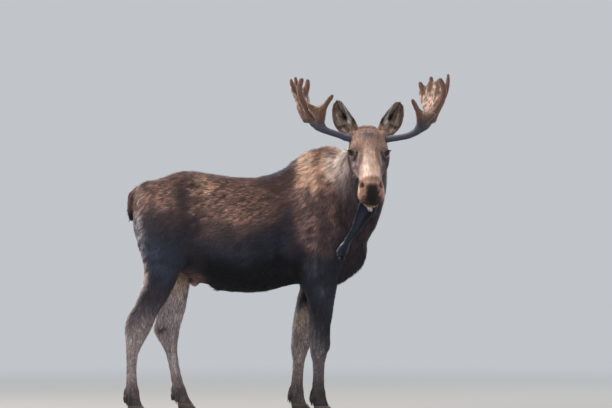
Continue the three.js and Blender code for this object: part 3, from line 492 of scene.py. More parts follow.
def catmull(points, t):
    P = np.asarray(points, float)
    n = len(P)
    x = np.clip(t, 0, 1) * (n - 1)
    i = np.clip(np.floor(x).astype(int), 0, n - 2)
    w = (x - i)[:, None]
    ext = np.vstack([2 * P[0] - P[1], P, 2 * P[-1] - P[-2]])
    p0, p1, p2, p3 = ext[i], ext[i + 1], ext[i + 2], ext[i + 3]
    d = [np.maximum(((b - a) ** 2).sum(1) ** 0.25, 1e-4)[:, None] for a, b in ((p0, p1), (p1, p2), (p2, p3))]
    m1 = ((p1 - p0) / d[0] - (p2 - p0) / (d[0] + d[1]) + (p2 - p1) / d[1]) * d[1]
    m2 = ((p2 - p1) / d[1] - (p3 - p1) / (d[1] + d[2]) + (p3 - p2) / d[2]) * d[1]
    return p1 + m1 * w + (-3 * p1 + 3 * p2 - 2 * m1 - m2) * w**2 + (2 * p1 - 2 * p2 + m1 + m2) * w**3


class Curved:
    """A loft through sections square to a curve."""

    def __init__(self, rows, up, read, count=48):
        rows = [list(map(float, r)) for r in rows]
        t = np.linspace(0, 1, count)
        pts = [r[:3] for r in rows]
        self.c = catmull(pts, t)
        T = unit(catmull(pts, np.minimum(t + 1e-3, 1)) - catmull(pts, np.maximum(t - 1e-3, 0)))
        V = unit(np.asarray(up, float) - T * (T @ np.asarray(up, float))[:, None])
        self.T, self.V, self.U = T, V, np.cross(T, V)
        tab = dense([[i, *read(r[3:])] for i, r in enumerate(rows)])
        self.cols = at(tab, t * (len(rows) - 1)).T
        self.count = count
        self.length = float(np.linalg.norm(np.diff(self.c, axis=0), axis=1).sum())

    def value(self, P):
        outs = [self._value(P[i : i + 60000]) for i in range(0, len(P), 60000)]
        return tuple(np.concatenate(x) for x in zip(*outs))

    def _value(self, P):
        T, c, M = self.T, self.c, self.count
        H = P @ T.T - (c * T).sum(1)
        D2 = -2 * (P @ c.T) + (c * c).sum(1)
        cross = (H[:, :-1] > 0) & (H[:, 1:] <= 0)
        score = np.where(cross, D2[:, :-1], np.inf)
        j = score.argmin(1)
        n = np.arange(len(P))
        none = ~cross.any(1)
        first = none & (H[:, 0] <= 0)
        last = none & ~first
        j = np.where(first, 0, np.where(last, M - 2, j))
        a, b = H[n, j], H[n, j + 1]
        f = np.where(none, np.where(first, 0.0, 1.0), a / np.where(np.abs(a - b) < 1e-9, 1, a - b))
        over = np.where(first, -H[:, 0], np.where(last, H[:, -1], 0.0))
        over = np.maximum(over, 0)
        f = np.clip(f, 0, 1)[:, None]
        C = c[j] * (1 - f) + c[j + 1] * f
        U = unit(self.U[j] * (1 - f) + self.U[j + 1] * f)
        V = unit(self.V[j] * (1 - f) + self.V[j + 1] * f)
        col = (self.cols[j] * (1 - f) + self.cols[j + 1] * f).T
        q = P - C
        u, v = (q * U).sum(1), (q * V).sum(1)
        F = section(u, v, *col)
        tt = (j + f[:, 0]) / (M - 1)
        end = np.minimum(tt, 1 - tt) * self.length
        F = np.where(over > 0, np.hypot(np.maximum(F, 0), over), np.maximum(F, -end))
        return F, tt, np.arctan2(u / col[0], v / np.where(v > 0, col[1], col[2]))


class Ear:
    """A cupped leaf as a thin shell."""

    def __init__(self, e, wall):
        self.A = np.array(e["base"], float)
        T = np.array(e["tip"], float) - self.A
        self.L = np.linalg.norm(T)
        self.T = T / self.L
        O = np.array(e["open"], float)
        self.O = unit(O - self.T * (O @ self.T))
        self.S = np.cross(self.T, self.O)
        self.B = np.array(e["bow"], float)
        self.wall = wall
        t = np.linspace(-0.15, 1, 400)
        tc = np.clip(t, 0, 1)
        leaf = np.maximum(0.03, np.sin(np.pi * np.minimum(1, 0.16 + 0.84 * tc) ** 0.86) ** 0.53)
        cup = EAR["cupBase"] + (EAR["cupTip"] - EAR["cupBase"]) * np.minimum(1, tc * 1.25) ** 0.7
        half = EAR["breadth"] * leaf * np.where(tc > 0.94, np.maximum(0.25, (1 - tc) / 0.06), 1)
        half = np.where(t < 0, half * 0.98, half) + 4.5 * smooth(0.15, 0.4, t) * smooth(1.0, 0.9, t)
        r = half / np.sin(np.minimum(cup, np.pi / 2))
        back = 22 * np.sin(np.pi * tc) - 10 * tc
        self.tab = (t, np.stack([cup, r, back, np.sin(np.pi * tc)], 1))

    def polar(self, P):
        q = P - self.A
        t = q @ self.T / self.L
        tc = np.clip(t, -0.15, 1.0)
        cup, r, back, bow = at(self.tab, tc)
        s = q @ self.S - bow * (self.B @ self.S)
        o = q @ self.O - bow * (self.B @ self.O) - (r * np.cos(cup) * 0.6 - back)
        return t, tc, cup, r, np.hypot(s, o), np.arctan2(s, -o)

    def value(self, P):
        t, tc, cup, r, rho, al = self.polar(P)
        mid = np.maximum(r - EAR["wall"] / 2, 3.0)
        thick = self.wall / 2 * (1 + 0.08 * smooth(0.6, 1.0, tc))
        beyond = np.maximum(np.abs(al) - cup + thick / mid, 0)
        edge = np.sqrt(np.maximum(rho**2 + mid**2 - 2 * rho * mid * np.cos(beyond), 0))
        F = np.where(beyond > 0, edge, np.abs(rho - mid)) - thick
        over = np.abs(t - tc) * self.L
        F = np.where(over > 0, np.hypot(np.maximum(F, 0), over), F)
        # inside the cup the shell's parameter runs the other way round
        inner = rho < mid
        return F, tc, np.where(inner, 10.0, 0.0) + al / 3.2


EX, EY, EZ = np.eye(3)
trunk = Straight(TRUNK, lambda r: (0, r[3], r[4], r[1] - r[3], r[3] - r[2], r[5], r[6], r[7]), (0, 0, 0), EX, EY, EZ, 70.0)
head = Straight(HEAD, lambda r: (0, r[7], r[3], r[1] - r[7], r[7] - r[2], r[4], r[5], r[6]), HO, HD, HL, HN, 34.0)


def leg(rows, side):
    return Straight(
        rows,
        lambda r: (side * r[3], (r[1] + r[2]) / 2, r[4], (r[1] - r[2]) / 2, (r[1] - r[2]) / 2, r[5], 0.12, 0.2),
        (0, 0, 0), EZ, EY, EX,
    )


neck = Curved(NECK, EZ, lambda r: (r[2], r[0], r[1], r[3], r[4], r[5]), 56)
tail = Curved(TAIL, unit([-0.6, 0, 1]), lambda r: (r[1], r[0], r[0], 2.0, 0.0, 0.0), 24)
bell = Curved(BELL, unit([0.35, -1, 0.2]), lambda r: (r[0], r[1], r[1], 2.1, 0.0, 0.0), 40)
PARTS = {
    "trunk": trunk,
    "neck": neck,
    "head": head,
    "fore_r": leg(FORE_RIGHT, -1),
    "fore_l": leg(FORE_LEFT, 1),
    "hind_r": leg(HIND_RIGHT, -1),
    "hind_l": leg(HIND_LEFT, 1),
    "ear_r": Ear(EAR_RIGHT, 9.0),
    "ear_l": Ear(EAR_LEFT, 9.0),
    "tail": tail,
    "bell": bell,
}
NAMES = list(PARTS)
ID = {n: i for i, n in enumerate(NAMES)}
BLEND = {"trunk": 1, "neck": 70, "head": 42, "fore_r": 48, "fore_l": 48, "hind_r": 50, "hind_l": 50, "ear_r": 16, "ear_l": 16, "tail": 24, "bell": 26}
REACH = {
    "trunk": ((-900, -430, 700), (900, 430, 1880)),
    "neck": ((250, -640, 880), (1010, 330, 2000)),
    "head": ((560, -1000, 1250), (980, -250, 2020)),
    "fore_r": ((200, -340, 60), (720, 20, 1400)),
    "fore_l": ((180, -20, 60), (700, 340, 1400)),
    "hind_r": ((-900, -340, 60), (-260, 20, 1470)),
    "hind_l": ((-850, -20, 60), (-240, 340, 1470)),
    "ear_r": ((500, -480, 1790), (770, -200, 2100)),
    "ear_l": ((790, -480, 1790), (1070, -200, 2100)),
    "tail": ((-860, -90, 1240), (-640, 90, 1580)),
    "bell": ((460, -580, 970), (900, -320, 1600)),
}


def lifts(P, forms, pairs=True):
    """How far muscle and bone move the surface at P."""
    out = np.zeros(len(P))
    for a, b, s, h, both in forms:
        for side in (1, -1) if both else (1,):
            A = np.array([a[0], a[1] * side, a[2]], float)
            B = np.array([b[0], b[1] * side, b[2]], float)
            ab = B - A
            lo, hi = np.minimum(A, B) - 2.6 * s, np.maximum(A, B) + 2.6 * s
            near = ((P > lo) & (P < hi)).all(1)
            if not near.any():
                continue
            Q = P[near]
            q = np.clip(((Q - A) @ ab) / max(ab @ ab, 1e-9), 0, 1)
            d2 = ((Q - A - q[:, None] * ab) ** 2).sum(1)
            out[near] += h * np.exp(-d2 / s**2)
    return out


# More of muscle and bone, too fine for the solids: capsule from a to b, spread, height, and whether it is mirrored.
SKIN_FORM = [
    # point of the elbow
    [[372, -250, 1012], [362, -246, 985], 34, 12, 1],
    # furrow between the shoulder blade and the upper arm
    [[500, -245, 1330], [610, -205, 1260], 30, -7, 1],
    # blade of the shoulder under the hump
    [[470, -170, 1680], [520, -225, 1480], 46, 8, 1],
    # fold of the flank in front of the thigh
    [[-348, -262, 1230], [-372, -255, 1080], 30, -9, 1],
    # groove down the back of the thigh
    [[-640, -212, 1330], [-668, -196, 1130], 28, -8, 1],
    # line of the belly towards the sheath
    [[-346, 0, 880], [-190, 0, 838], 30, 9, 0],
    # spine furrow behind the hump
    [[120, 0, 1592], [-520, 0, 1596], 26, 5, 0],
    # jugular groove
    [[640, -215, 1400], [735, -330, 1560], 26, -7, 1],
]
LEG_FORM = [
    # tendon groove of the gaskin and the point of the hock, right then left
    [[-690, -205, 760], [-720, -198, 690], 26, -6, 0],
    [[-560, 205, 760], [-575, 198, 690], 26, -6, 0],
    # wrist bones
    [[528, -165, 505], [526, -165, 470], 24, 4, 0],
    [[402, 165, 505], [398, 165, 470], 24, 4, 0],
    # fetlocks
    [[412, -165, 150], [412, -165, 140], 20, 5, 0],
    [[270, 165, 150], [270, 165, 140], 20, 5, 0],
]
# The face, in the head's frame and alike on both sides: distance along, out, up; the three spreads; height.
FACE = [
    (206, 112, 10, 46, 26, 32, 12.0),  # the bone round the eye
    (180, 100, 42, 36, 24, 18, 7.0),  # brow
    (122, 120, 22, 34, 18, 24, -5.0),  # temple
    (150, 0, 76, 60, 46, 22, 3.0),  # forehead
    (228, 58, 60, 46, 22, 20, -5.0),  # beside the bridge of the nose
    (290, 84, 2, 52, 22, 22, -7.0),  # below the eye
    (262, 108, -30, 34, 16, 16, 4.0),
    (310, 100, -54, 62, 18, 14, 5.0),  # crest of the cheek
    (130, 124, -92, 60, 24, 46, 6.0),  # jaw muscle
    (395, 72, -72, 46, 18, 26, -5.0),
    (470, 58, -104, 56, 30, 18, 3.0),  # lower lip
    (566, 80, -52, 40, 18, 26, 4.0),  # upper lip
    (556, 66, 44, 26, 16, 16, 5.0),  # rim of the nostril
    (590, 62, 6, 22, 22, 24, 3.0),
    (628, 0, -28, 26, 11, 46, -3.0),  # groove of the lip
    (4, 44, 64, 26, 20, 18, 4.0),  # crown
    (46, 0, 74, 8, 66, 18, -3.0),  # crease of the forehead
    (64, 0, 78, 9, 60, 18, 2.0),
    (30, 0, 72, 8, 56, 18, 2.0),
]
NOSTRIL = [((528, 72, 42), (556, 64, 27), 8.0, 12.5), ((556, 64, 27), (572, 53, 24), 12.5, 8.0), ((556, 62, 25), (544, 46, 16), 11.0, 8.0)]
MOUTH = dense([[395, -58], [440, -72], [510, -84], [580, -88], [620, -84], [650, -78]], 100)


EYES = [in_head(EYE_S, side * EYE_U, EYE_V) for side in (-1, 1)]
# The way each eye looks: outwards, a little forward and up. Then the line from its front corner to its rear one.
EYE_AXIS = [unit(HL * side * 0.72 + HD * 0.49 + HN * 0.39) for side in (-1, 1)]
EYE_LONG = [unit(v - a * (v @ a)) for a, v in zip(EYE_AXIS, (HL * side * 0.56 - HD * 0.80 + HN * 0.04 for side in (-1, 1)))]
EYE_TALL = [unit(np.cross(a, l)) * (1 if np.cross(a, l) @ HN > 0 else -1) for a, l in zip(EYE_AXIS, EYE_LONG)]


def capsule(P, a, b, r0, r1=None):
    a, b = np.asarray(a, float), np.asarray(b, float)
    ab = b - a
    q = np.clip(((P - a) @ ab) / (ab @ ab), 0, 1)
    r = r0 if r1 is None else r0 + (r1 - r0) * q
    return np.linalg.norm(P - a - q[:, None] * ab, axis=1) - r


def eye_local(P, k):
    """A place in eye k's own frame: along, up and out, how far off its middle, and how far outside the lids' opening."""
    q = P - EYES[k]
    r = np.linalg.norm(q, axis=1)
    x, y, z = q @ EYE_LONG[k], q @ EYE_TALL[k], q @ EYE_AXIS[k]
    a, b = 19.0, 12.4
    R = (a * a + b * b) / (2 * b)
    lens = np.maximum(np.hypot(x, y - (R - b)), np.hypot(x, y + (R - b))) - R
    return x, y, z, r, lens


def head_value(P):
    F, t, ang = head.value(P)
    s, u, v = head_local(P)
    au = np.abs(u)
    # soft bumps and hollows of the face
    for s0, u0, v0, a, b, c, h in FACE:
        e = ((s - s0) / a) ** 2 + ((au - u0) / b) ** 2 + ((v - v0) / c) ** 2
        F = F - h * np.exp(-e)
    # pads that carry the antlers
    for side in (-1, 1):
        F = smin(F, np.linalg.norm(P - in_head(64, side * 99, 22), axis=1) - 33, 24)
    # the eyes' mounds, then the openings between the lids
    for k in (0, 1):
        x, y, z, r, lens = eye_local(P, k)
        # the upper lid and brow stand further out than the lower lid
        lid = EYE_R + 3.8 + 3.4 * smooth(-2, 11, y) * smooth(34, 20, np.abs(x))
        F = smin(F, r - lid, 14)
        # folds above and below, the lids' own rolled edges, and the tear pit in front
        F = F + 2.6 * np.exp(-(((r - EYE_R - 5) / 6) ** 2 + ((y + 16.5 - 0.012 * x * x) / 2.6) ** 2)) * smooth(-8, 4, z)
        F = F + 3.0 * np.exp(-(((r - EYE_R - 7) / 7) ** 2 + ((y - 18.0 + 0.014 * x * x) / 2.6) ** 2)) * smooth(-8, 4, z)
        F = F - 1.3 * np.exp(-(((lens - 3.5) / 2.4) ** 2)) * smooth(0, 6, z)
        F = F + 6.0 * np.exp(-(((x + 28) / 9) ** 2 + ((y + 6) / 5) ** 2 + ((z - 8) / 14) ** 2))
        opening = np.maximum(np.maximum(lens, -z), EYE_R - 2.2 - r)
        F = -smin(-F, opening, 2.0)
    # nostrils
    for side in (-1, 1):
        for a, b, r0, r1 in NOSTRIL:
            hole = capsule(P, in_head(a[0], side * a[1], a[2]), in_head(b[0], side * b[1], b[2]), r0, r1)
            F = -smin(-F, hole, 9)
    # the mouth: a narrow valley along the lips
    line = at(MOUTH, np.clip(s, MOUTH[0][0], MOUTH[0][-1]))[0]
    deep = 9.0 * smooth(395, 440, s)
    F = F + deep * np.exp(-(((v - line) / 5.5) ** 2))
    return F, t, ang


def coat_depth(name, P):
    """How deep the coat lies over this part at P: its skin is that far inside its outline."""
    if name == "trunk":
        return mix(mix(9.0, 13.0, smooth(1350, 1600, P[:, 2])), 11.0, smooth(950, 820, P[:, 2]))
    if name == "neck":
        return mix(12.0, 14.0, smooth(1500, 1700, P[:, 2]))
    if name == "head":
        eye = np.minimum(np.linalg.norm(P - EYES[0], axis=1), np.linalg.norm(P - EYES[1], axis=1))
        return mix(6.0, 1.8, smooth(60, 480, head_local(P)[0])) * mix(0.25, 1.0, smooth(30, 62, eye))
    if name.startswith(("fore", "hind")):
        return mix(2.8, 8.0, smooth(180, 900, P[:, 2]))
    return np.full(len(P), {"ear": 0.3, "tai": 4.5, "bel": 7.5}[name[:3]])


def skin_field(P, parts=False):
    """How far P is outside the skin: the parts' fields, each drawn in by its coat and joined softly."""
    n = len(P)
    F = np.full(n, 400.0)
    if parts:
        each = np.full((n, len(NAMES)), 400.0, np.float32)
        depth = np.zeros((n, len(NAMES)), np.float32)
        co = np.zeros((n, len(NAMES), 2), np.float32)
    for i, name in enumerate(NAMES):
        lo, hi = REACH[name]
        near = ((P > lo) & (P < hi)).all(1)
        if not near.any():
            continue
        Q = P[near]
        f, t, ang = head_value(Q) if name == "head" else PARTS[name].value(Q)
        if name in ("trunk", "neck"):
            f = f - lifts(Q, FORM) - lifts(Q, SKIN_FORM)
            if name == "neck":
                f = f + 60 * smooth(0.16, 0.0, t)
        elif name.startswith(("fore", "hind")):
            f = f - lifts(Q, LEG_FORM) + 70 * smooth(1120, 1390, Q[:, 2])
        d = coat_depth(name, Q)
        f = f + d
        if parts:
            co[near, i, 0], co[near, i, 1] = t, ang
            each[near, i] = f
            depth[near, i] = d
        F[near] = smin(F[near], f, BLEND[name])
    # the sheath under the belly
    q = (P - np.array([-346.0, 0.0, 884.0])) / np.array([1.15, 1.0, 1.35])
    F = smin(F, (np.linalg.norm(q, axis=1) - 22), 22)
    return (F, each, depth, co) if parts else F


def gradient(P, F0, f=skin_field, h=1.2):
    g = np.empty((len(P), 3))
    for k in range(3):
        Q = P.copy()
        Q[:, k] += h
        g[:, k] = (f(Q) - F0) / h
    return g


# ------------------------------------------------------------------ a mesh from a field
def nets(xs, ys, zs, field, rough, block=3, slack=1.25):
    """Quads where `field` is 0, on a grid with the given lines. `rough` is a cheap field used to skip empty blocks."""
    def pad(a):
        extra = (-(len(a) - 1)) % block
        step = a[-1] - a[-2]
        return np.concatenate([a, a[-1] + step * np.arange(1, extra + 1)])

    xs, ys, zs = pad(xs), pad(ys), pad(zs)
    n = [len(a) for a in (xs, ys, zs)]
    mids = [(a[:-1:block][: (len(a) - 1) // block] + a[block::block]) / 2 for a in (xs, ys, zs)]
    size = [(a[block::block] - a[:-1:block]) for a in (xs, ys, zs)]
    M = np.stack(np.meshgrid(*mids, indexing="ij"), -1).reshape(-1, 3)
    S = np.sqrt(sum(np.square(x) for x in np.meshgrid(*size, indexing="ij"))).reshape(-1) / 2
    F0 = rough(M)
    keep = (np.abs(F0) < S * slack + 6).reshape([len(m) for m in mids])
    fill = np.repeat(np.repeat(np.repeat(F0.reshape(keep.shape), block, 0), block, 1), block, 2)
    G = np.full(n, 400.0, np.float32)
    G[:-1, :-1, :-1] = fill
    G[-1], G[:, -1], G[:, :, -1] = 400, 400, 400
    need = np.zeros(n, bool)
    cells = np.repeat(np.repeat(np.repeat(keep, block, 0), block, 1), block, 2)
    for a in (0, 1):
        for b in (0, 1):
            for c in (0, 1):
                need[a : a + cells.shape[0], b : b + cells.shape[1], c : c + cells.shape[2]] |= cells
    I = np.argwhere(need)
    P = np.stack([xs[I[:, 0]], ys[I[:, 1]], zs[I[:, 2]]], 1)
    say("nodes", len(P), "of", need.size)
    vals = np.concatenate([field(P[i : i + 150000]) for i in range(0, len(P), 150000)])
    G[I[:, 0], I[:, 1], I[:, 2]] = vals
    neg = G < 0
    count = np.zeros([k - 1 for k in n], np.int8)
    for a in (0, 1):
        for b in (0, 1):
            for c in (0, 1):
                count += neg[a : a + n[0] - 1, b : b + n[1] - 1, c : c + n[2] - 1]
    live = (count > 0) & (count < 8)
    C = np.argwhere(live)
    ids = np.full(live.shape, -1, np.int64)
    ids[live] = np.arange(len(C))
    corner = [(a, b, c) for a in (0, 1) for b in (0, 1) for c in (0, 1)]
    val = {k: G[C[:, 0] + k[0], C[:, 1] + k[1], C[:, 2] + k[2]] for k in corner}
    pos = {k: np.stack([xs[C[:, 0] + k[0]], ys[C[:, 1] + k[1]], zs[C[:, 2] + k[2]]], 1) for k in corner}
    total = np.zeros((len(C), 3))
    hits = np.zeros(len(C))
    for k in corner:
        for axis in range(3):
            if k[axis]:
                continue
            l = list(k)
            l[axis] = 1
            l = tuple(l)
            a, b = val[k], val[l]
            m = (a < 0) != (b < 0)
            t = np.where(m, a / np.where(m, a - b, 1), 0)
            total[m] += (pos[k] + (pos[l] - pos[k]) * t[:, None])[m]
            hits[m] += 1
    V = total / hits[:, None]
    quads = []
    for axis in range(3):
        lo = [slice(None)] * 3
        hi = [slice(None)] * 3
        lo[axis], hi[axis] = slice(0, -1), slice(1, None)
        a, b = neg[tuple(lo)], neg[tuple(hi)]
        E = np.argwhere(a != b)
        o1, o2 = [k for k in range(3) if k != axis]
        ok = (E[:, o1] > 0) & (E[:, o2] > 0) & (E[:, o1] < n[o1] - 1) & (E[:, o2] < n[o2] - 1)
        E = E[ok]
        flip = b[E[:, 0], E[:, 1], E[:, 2]]
        q = []
        for d1, d2 in ((0, 0), (-1, 0), (-1, -1), (0, -1)):
            c = E.copy()
            c[:, o1] += d1
            c[:, o2] += d2
            q.append(ids[c[:, 0], c[:, 1], c[:, 2]])
        q = np.stack(q, 1)
        turn = flip if axis != 1 else ~flip
        q[turn] = q[turn][:, ::-1]
        quads.append(q)
    Q = np.concatenate(quads)
    Q = Q[(Q >= 0).all(1)]
    return V, Q


# ------------------------------------------------------------------ the skin
def lines(stops):
    """Grid lines from (place, step) stops: the step changes evenly from stop to stop."""
    out = [stops[0][0]]
    while out[-1] < stops[-1][0]:
        x = out[-1]
        out.append(x + float(np.interp(x, [s[0] for s in stops], [s[1] for s in stops])))
    return np.array(out)


FINE, BIG = 4.8, 15.0
gx = lines([(-800, BIG), (480, BIG), (550, 5.5), (560, FINE), (632, FINE), (640, 2.9), (680, 2.9), (690, FINE), (856, FINE), (864, 2.9), (904, 2.9), (912, FINE), (990, FINE), (1020, 6)])
gy = lines([(-900, 5.0), (-860, FINE), (-538, FINE), (-532, 2.9), (-482, 2.9), (-476, FINE), (-300, FINE), (-270, 8.0), (-200, BIG), (340, BIG)])
gz = lines([(60, 8.0), (150, 9.0), (400, BIG), (1330, BIG), (1390, 6.0), (1430, FINE), (1690, FINE), (1698, 2.9), (1744, 2.9), (1752, FINE), (2075, FINE)])

SKIN_V, SKIN_Q = nets(gx, gy, gz, skin_field, skin_field)
say("net", len(SKIN_V), len(SKIN_Q))
for _ in range(2):
    F = skin_field(SKIN_V)
    g = gradient(SKIN_V, F)
    gg = np.maximum((g * g).sum(1), 0.05)[:, None]
    step = g * F[:, None] / gg
    far = np.maximum(np.linalg.norm(step, axis=1, keepdims=True), 1e-9)
    SKIN_V = SKIN_V - step * np.minimum(1, 3.0 / far)
say("drawn on to the surface")
F, SKIN_EACH, _depth, SKIN_CO = skin_field(SKIN_V, True)
SKIN_N = unit(gradient(SKIN_V, F))
SKIN_W = np.exp(-np.clip(SKIN_EACH - SKIN_EACH.min(1, keepdims=True), 0, 200) / 18.0)
SKIN_W /= SKIN_W.sum(1, keepdims=True)
SKIN_D = (_depth * SKIN_W).sum(1)


def mesh_of(name, verts, faces, smooth_shade=True):
    """An object from points in metres and an array of faces with one number of corners."""
    me = bpy.data.meshes.new(name)
    n, k = faces.shape
    me.vertices.add(len(verts))
    me.vertices.foreach_set("co", np.ascontiguousarray(verts, np.float32).ravel())
    me.loops.add(n * k)
    me.loops.foreach_set("vertex_index", np.ascontiguousarray(faces, np.int32).ravel())
    me.polygons.add(n)
    me.polygons.foreach_set("loop_start", np.arange(0, n * k, k, dtype=np.int32))
    me.polygons.foreach_set("use_smooth", np.full(n, smooth_shade))
    me.update(calc_edges=True)
    ob = bpy.data.objects.new(name, me)
    bpy.context.scene.collection.objects.link(ob)
    return ob


def largest_piece(V, Q):
    """Keeps the biggest joined piece."""
    label = np.arange(len(V))
    while True:
        m = label[Q].min(1)
        new = label.copy()
        np.minimum.at(new, Q.ravel(), np.repeat(m, Q.shape[1]))
        new = new[new]
        if (new == label).all():
            break
        label = new
    tags, counts = np.unique(label, return_counts=True)
    keep = label == tags[counts.argmax()]
    return keep


KEEP = largest_piece(SKIN_V, SKIN_Q)
say("pieces", len(SKIN_V), KEEP.sum())
_new = np.cumsum(KEEP) - 1
SKIN_Q = _new[SKIN_Q[KEEP[SKIN_Q].all(1)]]
SKIN_V, SKIN_N, SKIN_D, SKIN_W, SKIN_EACH, SKIN_CO = (a[KEEP] for a in (SKIN_V, SKIN_N, SKIN_D, SKIN_W, SKIN_EACH, SKIN_CO))


# ------------------------------------------------------------------ markings, with painted light and shade
def tone(r, g, b):
    return np.array([r, g, b], float)


def over(base, colour, mask):
    return base + (colour - base) * mask[:, None]


def blob(P, c, r):
    """1 at c, falling softly to 0 about r away (r one number or three)."""
    q = (P - np.array(c, float)) / np.asarray(r, float)
    return np.exp(-1.6 * (q * q).sum(1))


# dark coat colours: their blue tint is painted sky reflection, and the palest slate is a painted sheen
BLACK = tone(28, 28, 38)
SLATE = tone(37, 39, 50)
SLATE_SHEEN = tone(57, 61, 76)
PITCH = tone(9, 10, 16)
UMBER = tone(64, 47, 46)
BROWN = tone(92, 69, 62)
RUST = tone(106, 79, 70)
TAN = tone(158, 130, 104)
GOLD = tone(206, 168, 140)
PALE = tone(204, 182, 172)
ASH = tone(150, 140, 144)
SAND = tone(176, 152, 134)


def field(x, z, cx, cz, rx, rz):
    """1 in the middle of an oval on the animal's side, falling softly to 0 outside it."""
    return np.exp(-1.4 * (((x - cx) / rx) ** 2 + ((z - cz) / rz) ** 2) ** 1.5)


def band(v, a, b, soft):
    """1 between a and b, fading over `soft` on either side."""
    return smooth(a - soft, a + soft, v) * smooth(b + soft, b - soft, v)


def grain_of(P):
    """Streaks that follow the coat: broad ones, and the fine grizzle of single locks."""
    x, y, z = P.T
    a, b = 0.88 * x + 0.47 * z, -0.47 * x + 0.88 * z
    broad = noise(np.stack([a / 80, b / 20, y / 60], 1), 1.0, 11) - 0.5
    grizzle = noise(np.stack([a / 30, b / 8.5, y / 30], 1), 1.0, 12) - 0.5
    tips = noise(np.stack([a / 17, b / 6.0, y / 17], 1), 1.0, 13)
    return broad, grizzle, tips


